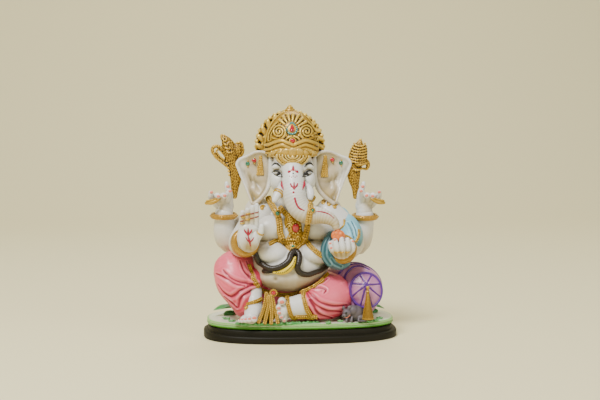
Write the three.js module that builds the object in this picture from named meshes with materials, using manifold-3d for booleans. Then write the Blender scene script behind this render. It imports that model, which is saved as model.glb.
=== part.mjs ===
// A seated four-armed Ganesha idol of painted marble-dust resin, on a leafy slab and a stepped plinth.
// Millimetres. +Z is up, the idol faces -Y, and the origin is the centre of the plinth's underside.
// "right" and "left" in the names are the figure's own, so the right hand is on the -X side.
import * as THREE from "three";
import { mergeVertices } from "three/addons/utils/BufferGeometryUtils.js";
import Module from "manifold-3d";

const wasm = await Module();
wasm.setup();

// ---------------------------------------------------------------- driving dimensions
const GAP = 0.4; // glue line between a piece and the one that it seats into
const SLIVER = 0.2; // faces thinner than this are merged into their neighbours
const PLINTH = { halfWidth: 83, halfDepth: 49.5, foot: 6, height: 11, step: 4, squareness: 2.7 };
const SLAB = { halfWidth: 79, halfDepth: 43.5, thickness: 5, squareness: 2.7 };
const FLOOR = PLINTH.height + SLAB.thickness; // top of the slab, on which the figure sits
const BODY_X = -10; // the figure sits a little towards its right on the slab
const BELLY = { centre: [BODY_X, -7, 60], radii: [34, 27, 22] };
const CHEST = { centre: [BODY_X + 3, 0, 90], radii: [33, 21, 25] };
const BREASTS = { spread: 21, y: -12, z: 93, radii: [13, 11, 12] };
const HEAD = { centre: [-7, -5, 141], radii: [19, 19, 22] };
const HALO = { y: 13, z: 161, halfWidth: 30.5, halfHeight: 31.5, thickness: 5 };
const TIARA = { centre: [-7, -1, 161], radii: [23, 22, 31] };
const FINIAL = { y: 8, base: 188, tip: 198, radius: 6.5 };
const BANGLE = { ring: 10.5, wire: 2 };

// ---------------------------------------------------------------- shape helpers
/** A closed three.js geometry as a manifold-3d solid. */
function solid(geometry) {
  const bare = new THREE.BufferGeometry();
  bare.setAttribute("position", geometry.getAttribute("position"));
  if (geometry.index) bare.setIndex(geometry.index);
  const merged = mergeVertices(bare, 1e-4);
  return new wasm.Manifold(
    new wasm.Mesh({
      numProp: 3,
      vertProperties: new Float32Array(merged.attributes.position.array),
      triVerts: new Uint32Array(merged.index.array),
    }),
  );
}

/** An ellipsoid, turned by Euler angles in degrees about its own centre. */
function ball(centre, radii, grow = 0, turn = [0, 0, 0], fine = 1) {
  const geometry = new THREE.SphereGeometry(1, Math.round(9 * fine), Math.round(6 * fine));
  geometry.rotateX(Math.PI / 2);
  geometry.scale(...radii.map((radius) => radius + grow));
  const [x, y, z] = turn.map(THREE.MathUtils.degToRad);
  geometry.applyMatrix4(new THREE.Matrix4().makeRotationFromEuler(new THREE.Euler(x, y, z)));
  geometry.translate(...centre);
  return solid(geometry);
}

/** The value at share u along a list of numbers, or of pairs [across, deep], with straight steps. */
function along(list, u) {
  const at = Math.min(u * (list.length - 1), list.length - 1.000001);
  const i = Math.floor(at);
  const pair = (value) => (Array.isArray(value) ? value : [value, value]);
  const [from, to] = [pair(list[i]), pair(list[i + 1])];
  return from.map((value, k) => value + (to[k] - value) * (at - i));
}

/**
 * A round-ended tapering limb along a curve through the points. A radius is one number or the pair
 * [across, deep], where deep runs along the reference direction.
 */
function limb(points, radii, grow = 0, { sides = 6, steps = 4, deep = [0, 1, 0] } = {}) {
  const caps = 2;
  const rings = steps + 2 * caps;
  const curve = new THREE.CatmullRomCurve3(points.map((p) => new THREE.Vector3(...p)));
  const geometry = new THREE.SphereGeometry(1, sides, rings);
  const position = geometry.getAttribute("position");
  const reference = new THREE.Vector3(...deep);
  for (let i = 0; i < position.count; i++) {
    const ring = Math.floor(i / (sides + 1));
    const u = THREE.MathUtils.clamp((ring - caps) / steps, 0, 1);
    const tangent = curve.getTangentAt(u);
    const across = new THREE.Vector3().crossVectors(tangent, reference).normalize();
    const depth = new THREE.Vector3().crossVectors(across, tangent).normalize();
    const [wide, thick] = along(radii, u).map((radius) => radius + grow);
    const past = ring < caps ? (caps - ring) / caps : Math.max(0, (ring - rings + caps) / caps);
    const round = Math.cos((past * Math.PI) / 2);
    const reach = Math.sin((past * Math.PI) / 2) * Math.min(wide, thick) * (ring < caps ? -1 : 1);
    const angle = ((i % (sides + 1)) / sides) * 2 * Math.PI;
    const at = curve.getPointAt(u).addScaledVector(tangent, reach);
    at.addScaledVector(across, -Math.cos(angle) * wide * round);
    at.addScaledVector(depth, -Math.sin(angle) * thick * round);
    position.setXYZ(i, at.x, at.y, at.z);
  }
  const made = solid(geometry);
  return made.volume() > 0 ? made : solid(turnedInsideOut(geometry));
}

/** The same geometry with each triangle wound the other way. */
function turnedInsideOut(geometry) {
  const index = geometry.index.array;
  for (let i = 0; i < index.length; i += 3) [index[i], index[i + 1]] = [index[i + 1], index[i]];
  return geometry;
}

/** A rounded rectangle in plan, between a superellipse and a box, extruded upwards with a soft edge. */
function ovalSlab(halfWidth, halfDepth, squareness, low, high, edge, grow = 0, corners = 32) {
  const shape = new THREE.Shape();
  for (let i = 0; i < corners; i++) {
    const angle = (i / corners) * 2 * Math.PI;
    const power = (value) => Math.sign(value) * Math.abs(value) ** (2 / squareness);
    const x = (halfWidth - edge) * power(Math.cos(angle));
    const y = (halfDepth - edge) * power(Math.sin(angle));
    if (i === 0) shape.moveTo(x, y);
    else shape.lineTo(x, y);
  }
  const bevel = edge + grow;
  const geometry = new THREE.ExtrudeGeometry(shape, {
    depth: high - low - 2 * edge,
    bevelEnabled: bevel > 0,
    bevelSize: bevel,
    bevelThickness: bevel,
    bevelSegments: 1,
  });
  geometry.translate(0, 0, low + edge);
  return solid(geometry);
}

/** A plate standing across Y, from an outline of [x, z] points, with bevelled edges. */
function plate(outline, y, thickness, grow = 0, bevel = 0.6, bend = null) {
  const shape = new THREE.Shape();
  shape.moveTo(...outline[0]);
  shape.splineThru([...outline.slice(1), outline[0]].map((p) => new THREE.Vector2(...p)));
  const geometry = new THREE.ExtrudeGeometry(shape, {
    depth: thickness - 2 * bevel,
    curveSegments: 2,
    bevelEnabled: true,
    bevelSize: bevel + grow,
    bevelOffset: -bevel,
    bevelThickness: bevel + grow,
    bevelSegments: 1,
  });
  geometry.rotateX(Math.PI / 2);
  geometry.translate(0, y + thickness / 2 - bevel, 0);
  if (bend) {
    const position = geometry.getAttribute("position");
    for (let i = 0; i < position.count; i++)
      position.setY(i, position.getY(i) + bend(position.getX(i), position.getZ(i)));
  }
  return solid(geometry);
}

/** A round wire ring in the plane across its normal. */
function ring(centre, normal, radius, wire, grow = 0, squash = 1) {
  const geometry = new THREE.TorusGeometry(radius, wire + grow, 5, 14);
  geometry.scale(1, squash, 1);
  const turn = new THREE.Quaternion().setFromUnitVectors(
    new THREE.Vector3(0, 0, 1),
    new THREE.Vector3(...normal).normalize(),
  );
  geometry.applyMatrix4(new THREE.Matrix4().makeRotationFromQuaternion(turn));
  geometry.translate(...centre);
  return solid(geometry);
}

/** A turned shape about the vertical, from [radius, height] points that start and end on the axis. */
function turned(profile, centre, grow = 0, turnsAcross = 10) {
  const grown = profile.map(([radius, height], i) => {
    const end = i === 0 ? -grow : i === profile.length - 1 ? grow : 0;
    return new THREE.Vector2(radius > 0 ? radius + grow : 0, height + end);
  });
  const geometry = new THREE.LatheGeometry(grown, turnsAcross);
  geometry.rotateX(Math.PI / 2);
  geometry.translate(...centre);
  const made = solid(geometry);
  return made.volume() > 0 ? made : solid(turnedInsideOut(geometry));
}

/** The Y of an ellipsoid's front at [x, z], raised outwards by lift. */
function frontOf({ centre, radii }, x, z, lift = 0) {
  const across = (x - centre[0]) / radii[0];
  const up = (z - centre[2]) / radii[2];
  const rest = Math.max(0.04, 1 - across * across - up * up);
  return centre[1] - (radii[1] + lift) * Math.sqrt(rest);
}

/** Points of a cord laid on an ellipsoid's front, from [x, z] pairs. */
function laidOn(form, pairs, lift = 0) {
  return pairs.map(([x, z]) => [x, frontOf(form, x, z, lift), z]);
}

/** The union of several solids. */
function joined(...solids) {
  return solids.reduce((whole, next) => whole.add(next));
}

// ---------------------------------------------------------------- the base
const plinth = (grow) =>
  joined(
    ovalSlab(PLINTH.halfWidth, PLINTH.halfDepth, PLINTH.squareness, 0, PLINTH.foot, 1.2, grow),
    ovalSlab(
      PLINTH.halfWidth - PLINTH.step,
      PLINTH.halfDepth - PLINTH.step,
      PLINTH.squareness,
      PLINTH.foot - 1,
      PLINTH.height - GAP,
      0.8,
      grow,
    ),
  );
const lawnSlab = (grow) =>
  ovalSlab(SLAB.halfWidth, SLAB.halfDepth, SLAB.squareness, PLINTH.height, FLOOR, 1.4, grow);

/** A pointed leaf lying on the slab from its stem to its tip. */
function leaf(stem, tip, halfWidth, grow) {
  const middle = stem.map((value, k) => (value + tip[k]) / 2 + (k === 2 ? 1.5 : 0));
  const widths = [
    [1.2, 1],
    [halfWidth, 1.4],
    [1, 0.8],
  ];
  return limb([stem, middle, tip], widths, grow, { steps: 5, deep: [0, 0, 1] });
}
const leafRight = (grow) => leaf([-52, 12, FLOOR + 5], [-74, -1, FLOOR + 4.6], 7, grow);
const leafLeft = (grow) => leaf([62, 14, FLOOR + 4], [73.5, 8, FLOOR + 3.4], 4, grow);

/** The mouse: a long body, a head with a snout towards the figure, and one ear in front. */
const mouse = (grow) =>
  joined(
    ball([43, -33, FLOOR + 6.5], [7.5, 5, 6.5], grow),
    ball([35.5, -35, FLOOR + 5], [4.8, 3.8, 4.2], grow, [0, 20, 0]),
    ball([38, -34, FLOOR + 9.5], [2, 1.6, 2.2], grow),
  );

// The bolster leans back from its round front end towards the figure's seat.
const BOLSTER = { front: [55.5, -20, 38], back: [43, 21, 45], radius: 18.5, end: 14 };
const bolster = (grow) => {
  const between = (u) => BOLSTER.front.map((value, k) => value + (BOLSTER.back[k] - value) * u);
  const swell = [BOLSTER.end, BOLSTER.radius - 1.5, BOLSTER.radius, BOLSTER.radius - 1.5, BOLSTER.end];
  const spine = [between(0.02), between(0.25), between(0.5), between(0.75), between(0.98)];
  const roll = limb(spine, swell, grow, { sides: 14, steps: 4, deep: [0, 0, 1] });
  return roll;
};
const bolsterTassel = (grow) =>
  limb(
    [[55.3, -37.2, 42], [55.6, -38, 34], [56, -38.8, FLOOR + 3]],
    [[1, 1], [2.6, 1.6], [3.8, 2]],
    grow,
    { steps: 5 },
  );

// ---------------------------------------------------------------- the body
const torso = (grow) =>
  joined(
    ball(BELLY.centre, BELLY.radii, grow, [0, 0, 0], 1.4),
    ball(CHEST.centre, CHEST.radii, grow, [0, 0, 0], 1.2),
    ...[-1, 1].map((side) => {
      const x = CHEST.centre[0] + side * BREASTS.spread;
      return ball([x, BREASTS.y, BREASTS.z], BREASTS.radii, grow);
    }),
  );
const seatDrape = (grow) =>
  joined(
    ball([BODY_X + 2, 8, 34], [42, 23, 18.5], grow, [0, 0, 0], 1.2),
    ball([BODY_X - 22, 4, 40], [20, 18, 20], grow),
  );
const THICK = { sides: 8, steps: 2 };
const raisedLeg = (grow) =>
  joined(
    limb([[-38, 0, 42], [-50, -5, 50], [-58, -11, 54.5]], [17, 17.5, 16.5], grow, THICK),
    limb([[-58, -11, 54.5], [-52, -21, 38], [-46, -27, 26]], [16.5, 13, 9.5], grow, THICK),
  );
const raisedFoot = (grow) =>
  joined(
    limb([[-43, -27, 44], [-42, -29, 34], [-42, -32, 27]], [9, 7.6, 8], grow, { steps: 5 }),
    limb(
      [[-40, -29, 25], [-43, -35, 23], [-46, -40, FLOOR + 3.2]],
      [[7.5, 8], [8.5, 6], [8.5, 3]],
      grow,
      { steps: 5, deep: [0, 0, 1] },
    ),
  );
const raisedAnklet = (grow) => ring([-43, -31, 33.5], [-0.15, 0.5, 1], 8.3, 1.2, grow);
const foldedLeg = (grow) =>
  joined(
    limb([[8, 2, 38], [18, -8, 38.5], [25, -17, 38]], [17, 17.5, 18], grow, THICK),
    limb([[25, -17, 38], [19, -25, 35], [12, -30, 31]], [18, 16, 13.5], grow, THICK),
  );
const foldedShin = (grow) =>
  limb([[8, -31, 29], [-3, -34, 29.5], [-14, -35, 29]], [11.5, 10.5, 9], grow, { steps: 5, sides: 10 });
const foldedFoot = (grow) =>
  limb([[-20.5, -38, 35], [-19.5, -39.5, 28], [-18, -39, FLOOR + 4]], [[5, 4], [6.8, 4.8], [6, 4]], grow);
const foldedAnklet = (grow) => ring([-9.5, -35, 29], [-1, 0.05, 0.12], 10.3, 1.3, grow, 1);
const foldedHem = (grow) => ring([4, -32, 29.5], [-1, 0.1, 0.2], 12.4, 1.6, grow, 1);

// The gold belt runs under the belly from hip to hip, dipping to a jewelled buckle.
const BELT_LINE = [[-43, 66], [-39, 56], [-33, 47.5], [-26, 42.5], [-14, 41], [-2, 43], [10, 49], [20, 57]];
const waistBelt = (grow) => {
  const line = BELT_LINE.map(([x, z]) => [x, frontOf(BELLY, x, Math.max(z, 44), 1) - 1, z]);
  return limb(line, [1.8, 2, 2, 2, 2, 2, 2, 1.8], grow, { steps: 14, sides: 6 });
};
const beltBuckle = (grow) => ball([-26.5, -37.5, 44], [4.2, 2.2, 3.6], grow, [0, 12, 0]);
const pleatFall = (grow) =>
  limb([[-27.5, -38, 39], [-29, -40, 30], [-30, -40.6, FLOOR + 2.5]], [[2.5, 2], [4.5, 2], [7, 2.4]], grow);

/** The serpent tied round the belly, its hood raised at the middle. */
const NAGA_LINE = [[-39, 76], [-36, 69.5], [-31, 64.5], [-22, 66], [-14, 65.5], [-10, 70], [-9, 75.5]];
const NAGA_TAIL = [[-8.5, 75], [-5, 71], [-4.5, 64], [0, 60.5], [8, 61], [17, 66]];
const nagaBelt = (grow) => {
  const body = laidOn(BELLY, NAGA_LINE, 1.5);
  const tail = laidOn(BELLY, NAGA_TAIL, 1.5);
  return joined(
    limb(body, [2.2, 2.2, 2.4, 3, 3.4, 3.4, 3.2], grow, { steps: 11, sides: 6 }),
    limb(tail, [3.2, 2.6, 2.6, 2.6, 2.4, 2], grow, { steps: 9, sides: 6 }),
  );
};

// ---------------------------------------------------------------- arms, hands and what they hold
const ARM_Y = 7;
const rearArmRight = (grow) =>
  joined(
    limb([[-34, 9, 102], [-48, ARM_Y + 2, 88], [-62, ARM_Y, 81]], [13, 13, 11], grow, THICK),
    limb([[-62, ARM_Y, 81], [-64.5, 3, 101]], [11, 8.5], grow, THICK),
  );
const rearArmLeft = (grow) =>
  joined(
    limb([[25, 9, 101], [38, ARM_Y + 2, 86], [51, ARM_Y, 78]], [13, 13, 11], grow, THICK),
    limb([[51, ARM_Y, 78], [56, 3, 99]], [11, 8.5], grow, THICK),
  );
/** A closed upper hand: palm, three curled fingers away from the head, two fingers pointing up. */
function graspingHand(wrist, side, grow) {
  const [x, y, z] = wrist;
  return joined(
    ball([x + side * 1, y - 1, z + 9], [9, 6.5, 8.5], grow),
    ball([x + side * 7, y - 4, z + 15.5], [6, 5, 4.2], grow, [0, side * -12, 0]),
    limb([[x - side * 3, y - 4, z + 14], [x - side * 4, y - 5, z + 24]], [3.2, 2.1], grow, { steps: 4 }),
    limb([[x - side * 6, y - 3, z + 12], [x - side * 6.5, y - 4, z + 20]], [3, 2.2], grow, { steps: 4 }),
  );
}
const WRISTS = { right: [-65, 2, 105], left: [56.5, 2, 103.5] };
const rearHandRight = (grow) => graspingHand(WRISTS.right, -1, grow);
const rearHandLeft = (grow) => graspingHand(WRISTS.left, 1, grow);
const bangle = (centre, normal, grow) => ring(centre, normal, BANGLE.ring, BANGLE.wire, grow);
const rearBangleRight = (grow) => bangle([-65, 2, 103.3], [0, 0.12, 1], grow);
const rearBangleLeft = (grow) => bangle([56.5, 2, 101.3], [-0.12, 0.12, 1], grow);

/** The axe: a carved shaft, a round scrolled blade on the outer side and a stepped finial. */
const axe = (grow) =>
  joined(
    limb(
      [[-57.5, 4, 118], [-55.5, 5, 133], [-55.5, 5, 146], [-59, 4, 157]],
      [[3, 2.6], [4.4, 3], [4, 3], [7.5, 4]],
      grow,
      { steps: 6 },
    ),
    ball([-67.5, 4, 155.5], [9.6, 2.4, 9.6], grow),
    ball([-52.5, 4, 160.5], [5.2, 3.2, 5.2], grow),
    turned([[0, 0], [6, 0], [4.2, 5], [1.6, 12], [0, 16]], [-62, 4, 156], grow, 7),
  );
/** The mace: a carved shaft, a ribbed pine-cone head with a point, and a hooked prong. */
const mace = (grow) =>
  joined(
    limb(
      [[52.5, 4, 116], [48.5, 5, 129], [46.5, 5, 140], [48, 5, 148]],
      [[4, 3], [5.6, 3.6], [6.4, 4], [6.2, 4.6]],
      grow,
      { steps: 8 },
    ),
    turned([[0, 0], [6, 0], [7.4, 4], [6.9, 9], [5, 13.5], [2.2, 17], [0, 22]], [50.5, 5, 146], grow),
    limb([[51, 5, 145], [56.5, 4, 143.5], [59, 4, 147.5]], [4, 3, 1.2], grow, { steps: 5 }),
  );

const blessingArm = (grow) =>
  joined(
    limb([[-33, -4, 103], [-43, -8, 91], [-52, -14, 79]], [12, 12, 10.5], grow, THICK),
    limb([[-52, -14, 79], [-49, -26, 79]], [10.5, 9.5], grow, THICK),
  );
/** The raised right palm, facing forwards with four fingers up and the thumb to its side. */
const blessingHand = (grow) =>
  joined(
    limb(
      [[-47.5, -33, 77], [-46, -34, 86], [-44, -34, 97]],
      [[9.5, 4.5], [11, 5], [10.5, 3.8]],
      grow,
      { steps: 6 },
    ),
    ...[0, 1, 2, 3].map((i) => {
      const root = [-51 + i * 4.6, -34, 97 + i * 1.1];
      const tip = [root[0] + 1.4, -33, root[2] + 10 + i * 1.6];
      return limb([root, tip], [2.7, 2.1], grow, { steps: 1, sides: 6 });
    }),
    limb([[-37, -35, 86], [-34.5, -36, 95]], [3.6, 2.6], grow, { steps: 1, sides: 6 }),
  );
const blessingCuff = (grow) => ring([-48, -29, 82], [0.12, 1, 0.55], 11.8, 2.4, grow);

const offeringArm = (grow) =>
  joined(
    limb([[23, -4, 103], [34, -7, 91], [43, -14, 77]], [12, 12, 11], grow, THICK),
    limb([[43, -14, 77], [34, -28, 76]], [11, 10], grow, THICK),
  );
/** The left hand, cupped with its four fingers side by side in front of the sweet. */
const offeringHand = (grow) =>
  joined(
    limb([[31, -31, 74], [31, -35.5, 80]], [[12, 5], [12.5, 4.5]], grow, { steps: 5 }),
    ...[0, 1, 2, 3].map((i) => {
      const x = 22.2 + i * 5.9;
      const rise = 3.4 * Math.sin(((i + 0.5) / 4) * Math.PI);
      return limb([[x, -35, 72], [x, -39.5, 79], [x, -38, 86 + rise]], [3.1, 3.3, 2.5], grow, {
        steps: 3,
        sides: 6,
      });
    }),
  );
const offeringCuff = (grow) => ring([33.5, -28, 77], [-0.05, 1, 0.4], 12.2, 2.2, grow);
const laddu = (grow) => ball([27, -36, 92], [6.6, 5, 5.6], grow, [0, 15, 0]);
const shawlLeft = (grow) =>
  joined(
    limb([[37, 3, 105], [43, -4, 94], [44, -12, 83]], [[8, 7], [11.5, 10], [13, 12]], grow, THICK),
    limb([[44, -12, 83], [34, -24, 72], [24, -27, 66]], [[13, 12], [12, 10], [7, 6]], grow, THICK),
  );
const SHAWL_BACK_LINE = [[-39, 6, 92], [-30, 19, 84], [-5, 25, 84], [22, 21, 90], [36, 8, 102]];
const shawlBack = (grow) => {
  const widths = [5, 7, 8, 7, 5].map((width) => [width, 3.4]);
  return limb(SHAWL_BACK_LINE, widths, grow, { steps: 8 });
};

// ---------------------------------------------------------------- head, trunk, tusks and ears
const head = (grow) =>
  joined(
    ball(HEAD.centre, HEAD.radii, grow, [0, 0, 0], 1.3),
    ball([HEAD.centre[0], -8, 128], [16, 14, 15], grow),
    ball([HEAD.centre[0], 2, 116], [17, 14, 14], grow),
  );
const TRUNK_LINE = [
  [-8, -19, 147],
  [-8, -25, 134],
  [-7.5, -31, 122],
  [-4, -34, 113],
  [5, -36, 107.5],
  [15, -38, 106.5],
  [23, -40, 104],
  [26.5, -40, 99.8],
];
const TRUNK_RADII = [9.5, 10.2, 9.4, 8.8, 7.8, 6.2, 4.4, 2.9];
const trunk = (grow) => limb(TRUNK_LINE, TRUNK_RADII, grow, { sides: 10, steps: 12 });
const tuskRight = (grow) =>
  limb([[-16, -25, 127.5], [-21, -30, 123], [-25, -33, 120.5]], [3.8, 3.4, 2], grow);
const tuskLeft = (grow) => limb([[3, -25, 127.5], [6, -29, 125], [9, -32, 124]], [3.8, 3.6, 3], grow);
/** One ear: a fan with a pointed outer corner that narrows down to the shoulder. */
const EAR_TOP = [[17, 153], [22, 158], [31, 159.5], [40, 155.5], [49.5, 150.5]];
const EAR_SIDE = [[47, 142], [42.5, 132], [38, 123], [33, 114], [26, 110.5]];
const EAR_ROOT = [[19, 117], [15, 130], [14.5, 143]];
const EAR_OUTLINE = [...EAR_TOP, ...EAR_SIDE, ...EAR_ROOT];
const EAR_BEND = (x) => 0.16 * (Math.abs(x - HEAD.centre[0]) - 15);
const ear = (side, grow) => {
  const outline = EAR_OUTLINE.map(([x, z]) => [HEAD.centre[0] + side * x, z]);
  return plate(side < 0 ? outline : outline.reverse(), -2, 5.2, grow, 1.4, (x) => EAR_BEND(x));
};
const earring = (side, grow) => {
  const x = HEAD.centre[0] + side * 26.5;
  const widths = [[2, 1.5], [2.6, 1.8], [3.2, 1.8]];
  return limb([[x, -7.2, 155], [x, -7.4, 148], [x, -7, 141]], widths, grow);
};

// ---------------------------------------------------------------- crown
const halo = (grow) => {
  const outline = [];
  const corners = 14;
  for (let i = 0; i < corners; i++) {
    const angle = (i / corners) * 2 * Math.PI;
    outline.push([
      HEAD.centre[0] + HALO.halfWidth * Math.cos(angle),
      HALO.z + HALO.halfHeight * Math.sin(angle),
    ]);
  }
  return plate(outline, HALO.y, HALO.thickness, grow, 1.2);
};
const tiara = (grow) => {
  const dome = ball(TIARA.centre, TIARA.radii, grow, [0, 0, 0], 1.4);
  const below = new THREE.BoxGeometry(80, 80, 60).translate(0, 0, 157 - 30 - grow);
  return dome.subtract(solid(below));
};
const crownFinial = (grow) =>
  turned(
    [[0, 0], [FINIAL.radius, 0], [FINIAL.radius, 2], [4.6, 3.4], [3.2, 6], [1.4, 8.4], [0, 10]],
    [HEAD.centre[0], FINIAL.y, FINIAL.base],
    grow,
  );
/** The rolled gold brim, in two arches that meet low over the brow. */
const BROW_ARCH = [[5, 162.5], [14, 164.5], [22, 162], [26, 158]];
const BROW_LINE = [...BROW_ARCH.map(([x, z]) => [-x, z]).reverse(), [0, 160.5], ...BROW_ARCH];
const browBand = (grow) => {
  const line = BROW_LINE.map(([x, z]) => {
    const away = Math.abs(x) / 26;
    return [HEAD.centre[0] + x, -2 - 21.5 * Math.sqrt(1 - away * away), z];
  });
  return limb(line, [2.4, 2.8, 2.8, 2.6, 2.6, 2.6, 2.8, 2.8, 2.4], grow, { steps: 14, sides: 6 });
};
const browLace = (grow) =>
  joined(
    ball([HEAD.centre[0], -14, 155.5], [19, 10.5, 5.5], grow),
    ball([HEAD.centre[0], -20.5, 154.5], [10, 5, 6.6], grow, [12, 0, 0]),
  );
const crownJewel = (grow) =>
  limb([[-7.5, -19.5, 182.5], [-7.5, -21.6, 176.5]], [[1.6, 1.4], [4.6, 1.6]], grow);
const crownBead = (grow) => ball([-7.6, -25, 167.5], [2.6, 2, 2.4], grow);

// ---------------------------------------------------------------- neck and chest ornaments
const CHEST_FORM = { centre: [CHEST.centre[0], -2, 92], radii: [37, 25, 30] };
const NECK_SIDE = [[7, 101], [13, 106], [17, 112], [19.5, 117]];
const NECK_LINE = [...NECK_SIDE.map(([x, z]) => [-x, z]).reverse(), [0, 99], ...NECK_SIDE];
const necklace = (grow) => {
  const line = NECK_LINE.map(([x, z]) => [x - 8, z]);
  const widths = [2.4, 3, 3.4, 3.4, 3.4, 3.4, 3.4, 3, 2.4].map((width) => [width, 2]);
  return limb(laidOn(CHEST_FORM, line, -1.5), widths, grow, { steps: 12 });
};
const pendant = (grow) =>
  limb(laidOn(CHEST_FORM, [[-8, 98], [-9, 90], [-10, 80]]), [[5.4, 2], [6.4, 2], [3, 2]], grow, { steps: 5 });
const pendantGem = (grow) => ball([-8, frontOf(CHEST_FORM, -8, 98, 2.2), 98], [3.4, 1.8, 3.6], grow);
const CHAIN_LINE = [[-20.5, 104], [-20, 96], [-18.5, 89], [-10, 80.5], [0, 88], [3.5, 95], [6, 104]];
const CHAIN = { sides: 5, steps: 10 };
const BAND = { sides: 5, steps: 4 };
const longChain = (grow) => limb(laidOn(CHEST_FORM, CHAIN_LINE, -0.6), [1.7, 1.7], grow, CHAIN);
const chestBandRight = (grow) =>
  limb(laidOn(CHEST_FORM, [[-37, 81], [-29, 83.5], [-20, 86.5]], -0.5), [1.8, 1.8], grow, BAND);
const chestBandLeft = (grow) =>
  limb(laidOn(CHEST_FORM, [[2.5, 84.5], [9, 80], [15.5, 75]], -0.5), [1.8, 1.8], grow, BAND);

// ---------------------------------------------------------------- paints and assembly
const PAINT = {
  black: { color: 0x24231f, roughness: 0.55, metalness: 0 },
  lawn: { color: 0xd9dccb, roughness: 0.4, metalness: 0 },
  leaf: { color: 0x2f7a35, roughness: 0.5, metalness: 0 },
  marble: { color: 0xe6e6e2, roughness: 0.35, metalness: 0 },
  gold: { color: 0xc9a24a, roughness: 0.38, metalness: 0.6 },
  pink: { color: 0xe8929c, roughness: 0.45, metalness: 0 },
  blue: { color: 0x7fc0cc, roughness: 0.5, metalness: 0 },
  lilac: { color: 0xb08ac0, roughness: 0.5, metalness: 0 },
  serpent: { color: 0x3a3029, roughness: 0.5, metalness: 0 },
  sweet: { color: 0xe8703a, roughness: 0.5, metalness: 0 },
  grey: { color: 0x8f8a8c, roughness: 0.6, metalness: 0 },
  ruby: { color: 0xc01825, roughness: 0.1, metalness: 0 },
};

// Set in this order: masses first, then what is laid on them, each cut to seat against those before it.
const PIECES = [
  ["plinth", plinth, PAINT.black],
  ["lawn_slab", lawnSlab, PAINT.lawn],
  ["torso", torso, PAINT.marble],
  ["head", head, PAINT.marble],
  ["folded_shin", foldedShin, PAINT.marble],
  ["raised_leg", raisedLeg, PAINT.pink],
  ["folded_leg", foldedLeg, PAINT.pink],
  ["seat_drape", seatDrape, PAINT.pink],
  ["bolster", bolster, PAINT.lilac],
  ["blessing_hand", blessingHand, PAINT.marble],
  ["offering_hand", offeringHand, PAINT.marble],
  ["blessing_arm", blessingArm, PAINT.marble],
  ["offering_arm", offeringArm, PAINT.marble],
  ["rear_arm_right", rearArmRight, PAINT.marble],
  ["rear_arm_left", rearArmLeft, PAINT.marble],
  ["rear_hand_right", rearHandRight, PAINT.marble],
  ["rear_hand_left", rearHandLeft, PAINT.marble],
  ["trunk", trunk, PAINT.marble],
  ["tusk_right", tuskRight, PAINT.marble],
  ["tusk_left", tuskLeft, PAINT.marble],
  ["tiara", tiara, PAINT.gold],
  ["halo", halo, PAINT.gold],
  ["ear_right", (grow) => ear(-1, grow), PAINT.marble],
  ["ear_left", (grow) => ear(1, grow), PAINT.marble],
  ["shawl_left", shawlLeft, PAINT.blue],
  ["shawl_back", shawlBack, PAINT.blue],
  ["raised_foot", raisedFoot, PAINT.marble],
  ["folded_foot", foldedFoot, PAINT.marble],
  ["crown_finial", crownFinial, PAINT.gold],
  ["brow_band", browBand, PAINT.gold],
  ["brow_lace", browLace, PAINT.gold],
  ["crown_jewel", crownJewel, PAINT.ruby],
  ["crown_bead", crownBead, PAINT.ruby],
  ["earring_right", (grow) => earring(-1, grow), PAINT.gold],
  ["earring_left", (grow) => earring(1, grow), PAINT.gold],
  ["blessing_cuff", blessingCuff, PAINT.gold],
  ["offering_cuff", offeringCuff, PAINT.gold],
  ["rear_bangle_right", rearBangleRight, PAINT.gold],
  ["rear_bangle_left", rearBangleLeft, PAINT.gold],
  ["axe", axe, PAINT.gold],
  ["mace", mace, PAINT.gold],
  ["laddu", laddu, PAINT.sweet],
  ["pendant", pendant, PAINT.gold],
  ["necklace", necklace, PAINT.gold],
  ["long_chain", longChain, PAINT.gold],
  ["pendant_gem", pendantGem, PAINT.ruby],
  ["chest_band_right", chestBandRight, PAINT.gold],
  ["chest_band_left", chestBandLeft, PAINT.gold],
  ["naga_belt", nagaBelt, PAINT.serpent],
  ["waist_belt", waistBelt, PAINT.gold],
  ["belt_buckle", beltBuckle, PAINT.ruby],
  ["pleat_fall", pleatFall, PAINT.gold],
  ["raised_anklet", raisedAnklet, PAINT.gold],
  ["folded_anklet", foldedAnklet, PAINT.gold],
  ["folded_hem", foldedHem, PAINT.gold],
  ["bolster_tassel", bolsterTassel, PAINT.gold],
  ["mouse", mouse, PAINT.grey],
  ["leaf_right", leafRight, PAINT.leaf],
  ["leaf_left", leafLeft, PAINT.leaf],
];

/** True if the boxes round two solids meet. */
function boxesMeet(a, b) {
  const [one, two] = [a.boundingBox(), b.boundingBox()];
  return [0, 1, 2].every((k) => one.min[k] < two.max[k] && two.min[k] < one.max[k]);
}

/** The largest of a solid's separate bodies, with the slivers that a cut leaves tidied away. */
function largestBody(made) {
  const bodies = made.simplify(SLIVER).decompose();
  return bodies.reduce((best, body) => (body.volume() > best.volume() ? body : best));
}

/** A solid's surface as a three.js geometry. */
function geometryOf(made) {
  const mesh = made.getMesh();
  const geometry = new THREE.BufferGeometry();
  geometry.setAttribute("position", new THREE.BufferAttribute(mesh.vertProperties, 3));
  geometry.setIndex(new THREE.BufferAttribute(mesh.triVerts, 1));
  geometry.computeVertexNormals();
  return geometry;
}

const idol = new THREE.Group();
const seated = [];
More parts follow.
